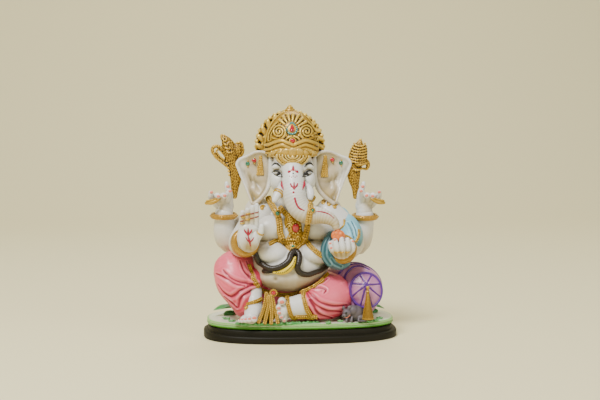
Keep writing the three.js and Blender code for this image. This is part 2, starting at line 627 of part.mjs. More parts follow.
// The slab and plinth are flat-topped, so what stands on them is trimmed at the slab's own surface.
const underfoot = solid(new THREE.BoxGeometry(200, 200, FLOOR + GAP).translate(0, 0, (FLOOR + GAP) / 2));
for (const [name, make, paint] of PIECES) {
  let made = make(0);
  if (name !== "plinth" && name !== "lawn_slab") {
    for (const neighbour of seated) if (boxesMeet(made, neighbour)) made = made.subtract(neighbour);
    made = made.subtract(underfoot);
  }
  made = largestBody(made);
  seated.push(make(GAP));
  const mesh = new THREE.Mesh(geometryOf(made), new THREE.MeshStandardMaterial(paint));
  mesh.name = name;
  idol.add(mesh);
}

export default idol;
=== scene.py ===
"""The finished surfaces of a painted marble-dust Ganesha idol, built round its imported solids.

Lengths in the classes are millimetres in the idol's own frame: +Z up, the idol faces -Y, and the origin is
the centre of the plinth's underside. Each sub-assembly is a class that builds its pieces and dresses them.
"""

import logging  # noqa: E402
import math  # noqa: E402
from collections.abc import Iterable, Sequence  # noqa: E402
from dataclasses import dataclass, replace  # noqa: E402
from enum import Enum  # noqa: E402
from functools import cache  # noqa: E402

import bpy  # noqa: E402
import numpy as np  # noqa: E402
from mathutils import Euler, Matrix, Vector  # noqa: E402
from mathutils.bvhtree import BVHTree  # noqa: E402

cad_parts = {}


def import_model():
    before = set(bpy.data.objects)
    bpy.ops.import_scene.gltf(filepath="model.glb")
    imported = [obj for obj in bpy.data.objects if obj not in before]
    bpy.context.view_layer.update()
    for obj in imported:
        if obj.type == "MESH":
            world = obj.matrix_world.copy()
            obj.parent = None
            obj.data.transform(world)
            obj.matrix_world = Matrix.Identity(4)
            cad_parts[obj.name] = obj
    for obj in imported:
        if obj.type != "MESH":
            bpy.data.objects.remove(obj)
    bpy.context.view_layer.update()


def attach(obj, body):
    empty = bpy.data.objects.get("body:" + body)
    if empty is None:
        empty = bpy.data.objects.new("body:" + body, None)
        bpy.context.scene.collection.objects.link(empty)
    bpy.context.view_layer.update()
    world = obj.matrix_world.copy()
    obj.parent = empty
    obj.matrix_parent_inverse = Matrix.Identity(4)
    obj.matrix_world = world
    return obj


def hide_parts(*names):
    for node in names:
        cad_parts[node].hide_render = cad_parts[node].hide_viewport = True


MM = 0.001
LOG = logging.getLogger("idol")
SLAB_TOP = 16.1
CHASING_DEPTH = 0.2
Place = Sequence[float]
Line = Sequence[Place]
Piece = bpy.types.Object


# ---------------------------------------------------------------- the viewer
@dataclass(frozen=True)
class Viewer:
    """Where the idol is looked at from."""

    target: tuple[float, float, float] = (0.0, 0.0, 116.1)
    azimuth: float = -5.0
    elevation: float = 5.0
    distance: float = 1200.0
    lens: float = 83.9

    def eye(self) -> np.ndarray:
        """The eye's place in millimetres."""
        az, el = math.radians(self.azimuth), math.radians(self.elevation)
        back = np.array([math.sin(az) * math.cos(el), -math.cos(az) * math.cos(el), math.sin(el)])
        return np.array(self.target) + back * self.distance

    def make_camera(self) -> None:
        """Adds the camera, looking at the target, and makes it the scene's own."""
        data = bpy.data.cameras.new("viewer")
        data.lens, data.sensor_width = self.lens, 36.0
        data.clip_start, data.clip_end = 0.05, 20.0
        camera = add_object("viewer", data)
        camera.location = Vector(self.eye()) * MM
        aim = Vector(self.target) * MM - camera.location
        camera.rotation_euler = aim.to_track_quat("-Z", "Y").to_euler()
        bpy.context.scene.camera = camera


VIEWER = Viewer()


# ---------------------------------------------------------------- curves and modelling helpers
def smooth_line(points: Line, count: int) -> np.ndarray:
    """Points evenly spaced along a smooth curve.

    Args:
        points: rows of a place and anything that goes with it, such as a radius.
        count: how many rows to return.

    Returns:
        The rows, with the first three columns evenly spaced by length.
    """
    rows = np.asarray(points, float)
    ends = np.vstack([2 * rows[0] - rows[1], rows, 2 * rows[-1] - rows[-2]])
    dense = []
    for i in range(len(rows) - 1):
        a, b, c, d = ends[i : i + 4]
        for s in np.linspace(0, 1, 12, endpoint=False):
            curve = 2 * b + (c - a) * s + (2 * a - 5 * b + 4 * c - d) * s**2 + (3 * b - a - 3 * c + d) * s**3
            dense.append(curve / 2)
    dense = np.array([*dense, rows[-1]])
    step = np.linalg.norm(np.diff(dense[:, :3], axis=0), axis=1)
    length = np.concatenate([[0], np.cumsum(step)])
    at = np.linspace(0, length[-1], count)
    return np.column_stack([np.interp(at, length, dense[:, k]) for k in range(dense.shape[1])])


def line_length(points: Line) -> float:
    """The length of a line of places, in millimetres."""
    return float(np.linalg.norm(np.diff(np.asarray(points, float)[:, :3], axis=0), axis=1).sum())


@cache
def unit_ball(sides: int, rings: int) -> tuple[bpy.types.Mesh, np.ndarray, np.ndarray]:
    """A ball of radius 1, modelled once, from which every rounded part is copied.

    Args:
        sides: faces round it.
        rings: faces from pole to pole.

    Returns:
        Its mesh, each vertex's ring from 0 at the top, and each vertex's angle round the axis.
    """
    bpy.ops.object.select_all(action="DESELECT")
    bpy.ops.mesh.primitive_uv_sphere_add(segments=sides, ring_count=rings, radius=1)
    made = bpy.context.object
    mesh = made.data.copy()
    bpy.data.objects.remove(made)
    places = vertex_places(mesh)
    ring = np.rint(np.arccos(np.clip(places[:, 2], -1, 1)) / math.pi * rings).astype(int)
    return mesh, ring, np.arctan2(places[:, 1], places[:, 0])


def vertex_places(mesh: bpy.types.Mesh) -> np.ndarray:
    """A mesh's vertices, one row each."""
    flat = np.empty(len(mesh.vertices) * 3)
    mesh.vertices.foreach_get("co", flat)
    return flat.reshape(-1, 3)


def move_vertices(mesh: bpy.types.Mesh, places: np.ndarray) -> None:
    """Puts a mesh's vertices at new places."""
    mesh.vertices.foreach_set("co", np.ascontiguousarray(places).ravel())
    mesh.update()


def vertex_normals(mesh: bpy.types.Mesh) -> np.ndarray:
    """A mesh's vertex normals, one row each."""
    flat = np.empty(len(mesh.vertices) * 3)
    mesh.vertices.foreach_get("normal", flat)
    return flat.reshape(-1, 3)


def add_object(name: str, data: bpy.types.ID) -> Piece:
    """Puts a mesh, a lamp or a camera in the scene as an object."""
    made = bpy.data.objects.new(name, data)
    bpy.context.scene.collection.objects.link(made)
    return made


def places_of(obj: Piece) -> np.ndarray:
    """An object's vertices in millimetres, one row each."""
    return vertex_places(obj.data) / MM


def reshape(obj: Piece, places: np.ndarray) -> None:
    """Puts an object's vertices at new places in millimetres."""
    move_vertices(obj.data, places * MM)


def swell(obj: Piece, push: np.ndarray) -> None:
    """Moves each vertex outwards by its own distance in millimetres."""
    reshape(obj, places_of(obj) + vertex_normals(obj.data) * push[:, None])


def settle(obj: Piece, floor: float = SLAB_TOP) -> None:
    """Flattens a piece where it rests on the slab."""
    places = places_of(obj)
    places[:, 2] = np.maximum(places[:, 2], floor)
    reshape(obj, places)


def pick(obj: Piece) -> None:
    """Selects one object alone and makes it the active one."""
    bpy.ops.object.select_all(action="DESELECT")
    obj.select_set(True)
    bpy.context.view_layer.objects.active = obj


def apply_modifiers(obj: Piece) -> None:
    """Applies an object's modifiers in order."""
    pick(obj)
    for modifier in list(obj.modifiers):
        bpy.ops.object.modifier_apply(modifier=modifier.name)


def normal_to(direction: Place) -> tuple[np.ndarray, np.ndarray]:
    """Two directions square to a given one and to each other."""
    axis = np.asarray(direction, float) / np.linalg.norm(direction)
    start = np.array([1.0, 0, 0]) if abs(axis[0]) < 0.8 else np.array([0, 0, 1.0])
    across = np.cross(axis, start)
    across /= np.linalg.norm(across)
    return across, np.cross(axis, across)


class Clay:
    """Parts gathered one by one before they become one piece."""

    def __init__(self) -> None:
        """Starts with nothing."""
        self.parts: list[Piece] = []
        # tone: how much of the finish's shade colour each new part carries, used as painted shade between
        # beads and strands.
        self.tone = 0.0

    def _keep(self, mesh: bpy.types.Mesh, places: np.ndarray) -> None:
        """Copies a template mesh with its vertices at new places, in millimetres."""
        copy = mesh.copy()
        move_vertices(copy, places * MM)
        tone = copy.attributes.new(Mark.SHADE.value, "FLOAT", "POINT")
        tone.data.foreach_set("value", np.full(len(places), self.tone, np.float32))
        self.parts.append(add_object("clay", copy))

    def ball(
        self, centre: Place, radii: Place | float, turn: Place = (0, 0, 0), sides: int = 24
    ) -> None:
        """Adds an ellipsoid.

        Args:
            centre: its middle.
            radii: its three radii, or one for a ball.
            turn: its Euler angles in degrees.
            sides: faces round it.
        """
        mesh, _, _ = unit_ball(sides, max(6, sides * 2 // 3))
        size = np.broadcast_to(np.asarray(radii, float), 3)
        turned = np.array(Euler([math.radians(a) for a in turn]).to_matrix())
        self._keep(mesh, (vertex_places(mesh) * size) @ turned.T + np.asarray(centre, float))

    def rod(
        self,
        line: Line,
        flat: float = 1.0,
        deep: Place = (0, 1, 0),
        sides: int = 12,
        steps: int | None = None,
    ) -> None:
        """Adds a round-ended limb along a smooth curve.

        Args:
            line: rows of x, y, z and radius.
            flat: how deep it is for its width.
            deep: the direction that its depth runs in.
            sides: faces round it.
            steps: faces along it, worked out from its length if left out.
        """
        caps = 3
        rows = np.asarray(line, float)
        if steps is None:
            steps = int(np.clip(line_length(rows) / max(0.7, rows[:, 3].mean() * 0.6), 4, 60))
        rows = smooth_line(rows, steps + 1)
        mesh, ring, angle = unit_ball(sides, steps + 2 * caps)
        tangent = np.gradient(rows[:, :3], axis=0)
        tangent /= np.linalg.norm(tangent, axis=1, keepdims=True)
        side = np.cross(tangent, np.asarray(deep, float))
        weak = np.linalg.norm(side, axis=1) < 0.05
        side[weak] = normal_to(deep)[0]
        side /= np.linalg.norm(side, axis=1, keepdims=True)
        depth = np.cross(side, tangent)
        at = np.clip(ring - caps, 0, steps)
        past = np.maximum(np.maximum(caps - ring, ring - steps - caps), 0) / caps
        radius = rows[at, 3]
        reach = np.sin(past * math.pi / 2) * radius * min(1.0, flat) * np.where(ring < caps, -1, 1)
        round_off = np.cos(past * math.pi / 2)
        places = rows[at, :3] + tangent[at] * reach[:, None]
        places += side[at] * (np.cos(angle) * radius * round_off)[:, None]
        places += depth[at] * (np.sin(angle) * radius * flat * round_off)[:, None]
        self._keep(mesh, places)

    def hoop(
        self,
        centre: Place,
        normal: Place,
        radius: float | tuple[float, float],
        wire: float,
        start: float = 0,
        end: float = 360,
    ) -> None:
        """Adds a round wire bent in a circle or an arc.

        Args:
            centre: the circle's middle.
            normal: square to the circle.
            radius: the circle's radius, or one across and one up.
            wire: the wire's radius.
            start: the arc's first angle in degrees.
            end: the arc's last angle in degrees.
        """
        across, up = normal_to(normal)
        wide, high = np.broadcast_to(np.asarray(radius, float), 2)
        angles = np.radians(np.linspace(start, end, max(8, int(abs(end - start) / 12))))
        places = (
            np.asarray(centre) + np.outer(np.cos(angles) * wide, across) + np.outer(np.sin(angles) * high, up)
        )
        self.rod(np.column_stack([places, np.full(len(places), wire)]), deep=normal, sides=10)

    def beads(self, line: Line, spacing: float = 1.6, sides: int = 8) -> None:
        """Adds balls along a line whose last column is their radius."""
        count = max(2, int(line_length(line) / spacing) + 1)
        for row in smooth_line(line, count):
            self.ball(row[:3], row[3], sides=sides)

    def join(self, name: str) -> Piece:
        """Joins the parts into one object with that name."""
        bpy.ops.object.select_all(action="DESELECT")
        for part in self.parts:
            part.select_set(True)
        bpy.context.view_layer.objects.active = self.parts[0]
        bpy.ops.object.join()
        made = bpy.context.view_layer.objects.active
        made.name = made.data.name = name + "_cast"
        made.data.shade_smooth()
        return made

    def melt(self, name: str, grain: float = 0.7, smooth: int = 4) -> Piece:
        """Joins the parts, merges them into one skin and smooths it.

        Args:
            name: the new object's name.
            grain: the size of the skin's faces in millimetres.
            smooth: how many times it is smoothed.

        Returns:
            The object.
        """
        made = self.join(name)
        skin = made.modifiers.new("skin", "REMESH")
        skin.mode, skin.voxel_size = "VOXEL", grain * MM
        if smooth:
            soft = made.modifiers.new("soft", "SMOOTH")
            soft.factor, soft.iterations = 0.5, smooth
        apply_modifiers(made)
        made.data.shade_smooth()
        return made


class Surface:
    """Finished masses that ornaments are laid on, as the viewer sees them."""

    def __init__(self, *masses: Piece) -> None:
        """Takes the masses' present shapes."""
        bpy.context.view_layer.update()
        graph = bpy.context.evaluated_depsgraph_get()
        self.trees = [BVHTree.FromObject(mass, graph) for mass in masses]
        self.eye = Vector(VIEWER.eye()) * MM

    def touch(self, place: Place, lift: float = 0.0) -> np.ndarray:
        """Where the sight line through a place first meets a mass.

        Args:
            place: a place near the surface.
            lift: how far outwards to go from there.

        Returns:
            The place on the surface.
        """
        near = Vector(place[:3]) * MM
        aim = (near - self.eye).normalized()
        hits = [hit for hit in (tree.ray_cast(self.eye, aim) for tree in self.trees) if hit[0]]
        if not hits:
            hits = [tree.find_nearest(near) for tree in self.trees]
            hits.sort(key=lambda hit: hit[3])
            return np.array(hits[0][0] / MM + hits[0][1] * lift)
        hits.sort(key=lambda hit: hit[3])
        return np.array(hits[0][0] / MM + hits[0][1] * lift)

    def nearest(self, place: Place, lift: float = 0.0) -> np.ndarray:
        """The nearest place on the masses, moved outwards by a lift."""
        near = Vector(place[:3]) * MM
        hit = min((tree.find_nearest(near) for tree in self.trees), key=lambda found: found[3])
        return np.array(hit[0] / MM + hit[1] * lift)

    def lay(self, pairs: Line, y: float, lift: float = 0.0, spacing: float = 1.2) -> np.ndarray:
        """Lays a line on the surface.

        Args:
            pairs: rows of x, z and radius as the viewer sees them at depth y.
            y: about where the surface is.
            lift: how far outwards to lay it, in radii.
            spacing: the step along it.

        Returns:
            Rows of x, y, z and radius.
        """
        rows = np.array([(x, y, z, r) for x, z, r in pairs], float)
        rows = smooth_line(rows, max(3, int(line_length(rows) / spacing) + 1))
        return np.array([(*self.touch(row, lift * row[3]), row[3]) for row in rows])

    def hang(self, pairs: Line, y: float, depths: Place) -> np.ndarray:
        """Hangs a chain on the surface, spanning the hollows.

        Args:
            pairs: rows of x, z and radius as the viewer sees them at depth y.
            y: the depth that the rows are given at.
            depths: how far back the chain may fall, evenly along it.

        Returns:
            Rows of x, y, z and radius.
        """
        rows = np.array([(x, y, z, r) for x, z, r in pairs], float)
        rows = smooth_line(rows, max(3, int(line_length(rows) / 1.2) + 1))
        limits = np.interp(np.linspace(0, 1, len(rows)), np.linspace(0, 1, len(depths)), depths)
        eye = np.array(self.eye) / MM
        for row, limit in zip(rows, limits):
            hit = self.touch(row, 0.7)
            row[:3] = eye + (row[:3] - eye) * ((limit - eye[1]) / (row[1] - eye[1]))
            if hit[1] < limit and np.hypot(*(hit - row[:3])[[0, 2]]) < 4:
                row[:3] = hit
        return rows


def beside(rows: np.ndarray, offset: float, radius: float) -> np.ndarray:
    """A line moved sideways in the plane that faces the viewer.

    Args:
        rows: rows of x, y, z and radius.
        offset: how far, to the left of its direction if positive.
        radius: the new line's radius.

    Returns:
        The new rows.
    """
    tangent = np.gradient(rows[:, :3], axis=0)
    side = np.column_stack([-tangent[:, 2], np.zeros(len(rows)), tangent[:, 0]])
    side /= np.linalg.norm(side, axis=1, keepdims=True) + 1e-9
    return np.column_stack([rows[:, :3] + side * offset, np.full(len(rows), radius)])


def spiral(x: float, z: float, radius: float, turns: float, wire: float, start: float = 0) -> list[tuple]:
    """A scroll's line, from its outside to its eye.

    Args:
        x: its middle across.
        z: its middle up.
        radius: its outer radius, which is negative for one that winds the other way.
        turns: how many times it goes round.
        wire: its wire's radius.
        start: its first angle in degrees.

    Returns:
        Rows of x, z and radius.
    """
    rows = []
    for share in np.linspace(0, 1, int(turns * 14) + 2):
        angle = math.radians(start) + share * turns * 2 * math.pi
        reach = abs(radius) * (1 - 0.88 * share)
        rows.append((x + math.copysign(reach, radius) * math.cos(angle), z + reach * math.sin(angle), wire))
    return rows


# ---------------------------------------------------------------- vertex marks that the paints read
class Mark(Enum):
    """What a vertex attribute says to the paint."""

    HOLLOW = "hollow"
    RIDGE = "ridge"
    SHADE = "shade"
    LINE = "line"


def set_mark(obj: Piece, mark: Mark, values: np.ndarray) -> None:
    """Stores one number from 0 to 1 for each vertex."""
    attribute = obj.data.attributes.get(mark.value) or obj.data.attributes.new(mark.value, "FLOAT", "POINT")
    attribute.data.foreach_set("value", np.clip(values, 0, 1).astype(np.float32))


def spread_out(edges: np.ndarray, values: np.ndarray, degree: np.ndarray) -> np.ndarray:
    """Each vertex's average of its neighbours' values."""
    total = np.zeros_like(values)
    np.add.at(total, edges[:, 0], values[edges[:, 1]])
    np.add.at(total, edges[:, 1], values[edges[:, 0]])
    return total / (degree[:, None] if values.ndim > 1 else degree)


def mark_relief(obj: Piece, reach: int = 5, gain: float = 4.0) -> None:
    """Marks hollows and ridges, for painted shade in the hollows and painted highlights on the ridges.

    Args:
        obj: the piece.
        reach: how many faces away it looks.
        gain: how strongly a hollow of 1 mm shows.
    """
    mesh = obj.data
    flat = np.empty(len(mesh.edges) * 2, int)
    mesh.edges.foreach_get("vertices", flat)
    edges = flat.reshape(-1, 2)
    degree = np.maximum(np.bincount(edges.ravel(), minlength=len(mesh.vertices)), 1).astype(float)
    places = vertex_places(mesh) / MM
    soft = places
    for _ in range(reach):
        soft = (soft + spread_out(edges, soft, degree)) / 2
    depth = ((soft - places) * vertex_normals(mesh)).sum(axis=1)
    depth = (depth + spread_out(edges, depth, degree)) / 2
    set_mark(obj, Mark.HOLLOW, depth * gain)
    set_mark(obj, Mark.RIDGE, -depth * gain)


def line_distance(places: np.ndarray, rows: np.ndarray) -> tuple[np.ndarray, np.ndarray]:
    """How far each place is from a line, and which share of the line is nearest."""
    best = np.full(len(places), 1e9)
    share = np.zeros(len(places))
    last = len(rows) - 1
    for i in range(last):
        a, b = rows[i, :3], rows[i + 1, :3]
        along = b - a
        t = np.clip(((places - a) @ along) / max(along @ along, 1e-9), 0, 1)
        gap = np.linalg.norm(places - (a + t[:, None] * along), axis=1)
        nearer = gap < best
        best[nearer] = gap[nearer]
        share[nearer] = (i + t[nearer]) / last
    return best, share


def carve_folds(obj: Piece, folds: Iterable[np.ndarray], depth: float, stroke: float = 1.0) -> None:
    """Presses folds into a piece and marks their lines for the brush.

    Args:
        obj: the piece.
        folds: lines of x, y, z and half-width.
        depth: how deep the middle of a fold is.
        stroke: how wide the painted line is for the fold.
    """
    places = places_of(obj)
    push = np.zeros(len(places))
    paint = np.zeros(len(places))
    for rows in folds:
        gap, share = line_distance(places, rows)
        width = np.interp(share, np.linspace(0, 1, len(rows)), rows[:, 3])
        strength = np.clip(width / rows[:, 3].max(), 0, 1)
        push -= depth * strength * np.exp(-((gap / width) ** 2))
        push += 0.55 * depth * strength * np.exp(-(((gap - 2.1 * width) / width) ** 2))
        paint = np.maximum(paint, strength * 1.5 * np.exp(-((gap / (width * 0.62 * stroke)) ** 2)))
    swell(obj, push)
    set_mark(obj, Mark.LINE, paint)


def ramp(values: np.ndarray, low: float, high: float) -> np.ndarray:
    """A soft step from 0 at low to 1 at high, which may run downwards."""
    t = np.clip((values - low) / (high - low), 0, 1)
    return t * t * (3 - 2 * t)


# ---------------------------------------------------------------- paints
def rgb(code: str) -> tuple[float, float, float, float]:
    """A colour as the shaders want it, from six hexadecimal digits."""
    parts = [int(code[i : i + 2], 16) / 255 for i in (0, 2, 4)]
    return (*[c / 12.92 if c <= 0.04045 else ((c + 0.055) / 1.055) ** 2.4 for c in parts], 1.0)


def new_group(name: str, inputs: dict[str, object], outputs: dict[str, str]) -> bpy.types.NodeTree:
    """An empty shader group with named sockets.

    Args:
        name: the group's name.
        inputs: each input's default value; a tuple makes a colour socket and a number a value socket.
        outputs: each output's socket type.

    Returns:
        The group.
    """
    group = bpy.data.node_groups.new(name, "ShaderNodeTree")
    for label, value in inputs.items():
        kind = "NodeSocketColor" if isinstance(value, tuple) else "NodeSocketFloat"
        group.interface.new_socket(label, in_out="INPUT", socket_type=kind).default_value = value
    for label, kind in outputs.items():
        group.interface.new_socket(label, in_out="OUTPUT", socket_type=kind)
    return group


def mix_colour(nodes: bpy.types.Nodes, mode: str = "MIX") -> bpy.types.Node:
    """A colour mix node."""
    node = nodes.new("ShaderNodeMix")
    node.data_type, node.blend_type = "RGBA", mode
    return node


@cache
def layered_paint() -> bpy.types.NodeTree:
    """The group that lays base coat, shading, painted hollow shade, painted ridge highlight and brush line.
    """
    white = (1.0, 1.0, 1.0, 1.0)
    inputs = {"Base": white, "Shade": white, "Hollow Shade": white, "Light": white, "Stroke": white}
    amounts = {"Hollow Shade Amount": 1.0, "Light Amount": 1.0, "Mottle": 0.1, "Mottle Size": 300.0}
    group = new_group(
        "layered_paint", {**inputs, **amounts}, {"Color": "NodeSocketColor", "Worn": "NodeSocketFloat"}
    )
    nodes, links = group.nodes, group.links
    given, result = nodes.new("NodeGroupInput"), nodes.new("NodeGroupOutput")
    place = nodes.new("ShaderNodeTexCoord")
    noise = nodes.new("ShaderNodeTexNoise")
    noise.inputs["Detail"].default_value = 4
    links.new(place.outputs["Object"], noise.inputs["Vector"])
    links.new(given.outputs["Mottle Size"], noise.inputs["Scale"])

    def mark(name: Mark) -> bpy.types.NodeSocket:
        node = nodes.new("ShaderNodeAttribute")
        node.attribute_name = name.value
        return node.outputs["Fac"]

    def times(a: bpy.types.NodeSocket, b: bpy.types.NodeSocket) -> bpy.types.NodeSocket:
        node = nodes.new("ShaderNodeMath")
        node.operation, node.use_clamp = "MULTIPLY", True
        links.new(a, node.inputs[0])
        links.new(b, node.inputs[1])
        return node.outputs[0]

    colour = given.outputs["Base"]
    # Shade mixes a second colour that is mostly painted shade, then painted shade goes into the hollows, a
    # painted highlight onto the ridges, and last the brush line.
    layers = [
        ("Shade", mark(Mark.SHADE)),
        ("Hollow Shade", times(mark(Mark.HOLLOW), given.outputs["Hollow Shade Amount"])),
        ("Light", times(mark(Mark.RIDGE), given.outputs["Light Amount"])),
        ("Stroke", mark(Mark.LINE)),
    ]
    for name, mask in layers:
        mix = mix_colour(nodes)
        links.new(mask, mix.inputs["Factor"])
        links.new(colour, mix.inputs["A"])
        links.new(given.outputs[name], mix.inputs["B"])
        colour = mix.outputs["Result"]
    swing = nodes.new("ShaderNodeMapRange")
    swing.inputs["From Min"].default_value, swing.inputs["From Max"].default_value = 0.3, 0.7
    swing.inputs["To Max"].default_value = 1.0
    low = nodes.new("ShaderNodeMath")
    low.operation = "SUBTRACT"
    low.inputs[0].default_value = 1.0
    links.new(given.outputs["Mottle"], low.inputs[1])
    links.new(low.outputs[0], swing.inputs["To Min"])
    links.new(noise.outputs["Fac"], swing.inputs["Value"])
    tone = mix_colour(nodes, "MULTIPLY")
    tone.inputs["Factor"].default_value = 1.0
    links.new(colour, tone.inputs["A"])
    links.new(swing.outputs["Result"], tone.inputs["B"])
    links.new(tone.outputs["Result"], result.inputs["Color"])
    links.new(noise.outputs["Fac"], result.inputs["Worn"])
    return group


@cache
def cast_grain() -> bpy.types.NodeTree:
    """The group that gives a cast surface its fine unevenness."""
    inputs = {"Size": 900.0, "Depth": 0.1, "Rough Low": 0.35, "Rough High": 0.5}
    group = new_group("cast_grain", inputs, {"Normal": "NodeSocketVector", "Roughness": "NodeSocketFloat"})
    nodes, links = group.nodes, group.links
    given, result = nodes.new("NodeGroupInput"), nodes.new("NodeGroupOutput")
    place = nodes.new("ShaderNodeTexCoord")
    noise = nodes.new("ShaderNodeTexNoise")
    noise.inputs["Detail"].default_value = 6
    links.new(place.outputs["Object"], noise.inputs["Vector"])
    links.new(given.outputs["Size"], noise.inputs["Scale"])
    bump = nodes.new("ShaderNodeBump")
    bump.inputs["Distance"].default_value = 0.0006
    links.new(given.outputs["Depth"], bump.inputs["Strength"])
    links.new(noise.outputs["Fac"], bump.inputs["Height"])
    rough = nodes.new("ShaderNodeMapRange")
    rough.inputs["From Min"].default_value, rough.inputs["From Max"].default_value = 0.3, 0.7
    links.new(given.outputs["Rough Low"], rough.inputs["To Min"])
    links.new(given.outputs["Rough High"], rough.inputs["To Max"])
    links.new(noise.outputs["Fac"], rough.inputs["Value"])
    links.new(bump.outputs["Normal"], result.inputs["Normal"])
    links.new(rough.outputs["Result"], result.inputs["Roughness"])
    return group


@dataclass(frozen=True)
class Paint:
    """One hand-painted finish of the idol."""

    name: str
    base: str
    # shade is a second colour, mostly painted shade (on the slab it is the rim's own green); the next colour
    # is painted shade for the hollows, and light is a painted highlight for the ridges.
    shade: str
    hollow_shade: str
    light: str
    stroke: str = "7a1024"
    hollow_shade_amount: float = 0.8
    light_amount: float = 0.5
    mottle: float = 0.08
    mottle_size: float = 220.0
    roughness: tuple[float, float] = (0.34, 0.46)
    metallic: float = 0.0
    coat: float = 0.0
    soft: float = 0.0
    specular: float = 0.5
    reach: int = 5
    gain: float = 4.0
    grain: tuple[float, float] = (1100.0, 0.08)

    def material(self) -> bpy.types.Material:
        """The finish as a material, made once."""
        label = "painted_" + self.name
        made = bpy.data.materials.get(label)
        if made:
            return made
        made = bpy.data.materials.new(label)
        made.use_nodes = True
        nodes, links = made.node_tree.nodes, made.node_tree.links
        shader = nodes["Principled BSDF"]
        coats = nodes.new("ShaderNodeGroup")
        coats.node_tree = layered_paint()
        for label, code in zip(
            ("Base", "Shade", "Hollow Shade", "Light", "Stroke"),
            (self.base, self.shade, self.hollow_shade, self.light, self.stroke)
        ):
            coats.inputs[label].default_value = rgb(code)
        coats.inputs["Hollow Shade Amount"].default_value = self.hollow_shade_amount
        coats.inputs["Light Amount"].default_value = self.light_amount
        coats.inputs["Mottle"].default_value = self.mottle
        coats.inputs["Mottle Size"].default_value = self.mottle_size
        grain = nodes.new("ShaderNodeGroup")
        grain.node_tree = cast_grain()
        grain.inputs["Size"].default_value, grain.inputs["Depth"].default_value = self.grain
        grain.inputs["Rough Low"].default_value, grain.inputs["Rough High"].default_value = self.roughness
        links.new(coats.outputs["Color"], shader.inputs["Base Color"])
        links.new(grain.outputs["Roughness"], shader.inputs["Roughness"])
        links.new(grain.outputs["Normal"], shader.inputs["Normal"])
        shader.inputs["Metallic"].default_value = self.metallic
        shader.inputs["Specular IOR Level"].default_value = self.specular
        shader.inputs["Coat Weight"].default_value = self.coat
        shader.inputs["Coat Roughness"].default_value = 0.2
        if self.soft:
            shader.inputs["Subsurface Weight"].default_value = self.soft
            shader.inputs["Subsurface Radius"].default_value = (1.0, 0.8, 0.6)
            shader.inputs["Subsurface Scale"].default_value = 0.002
        return made


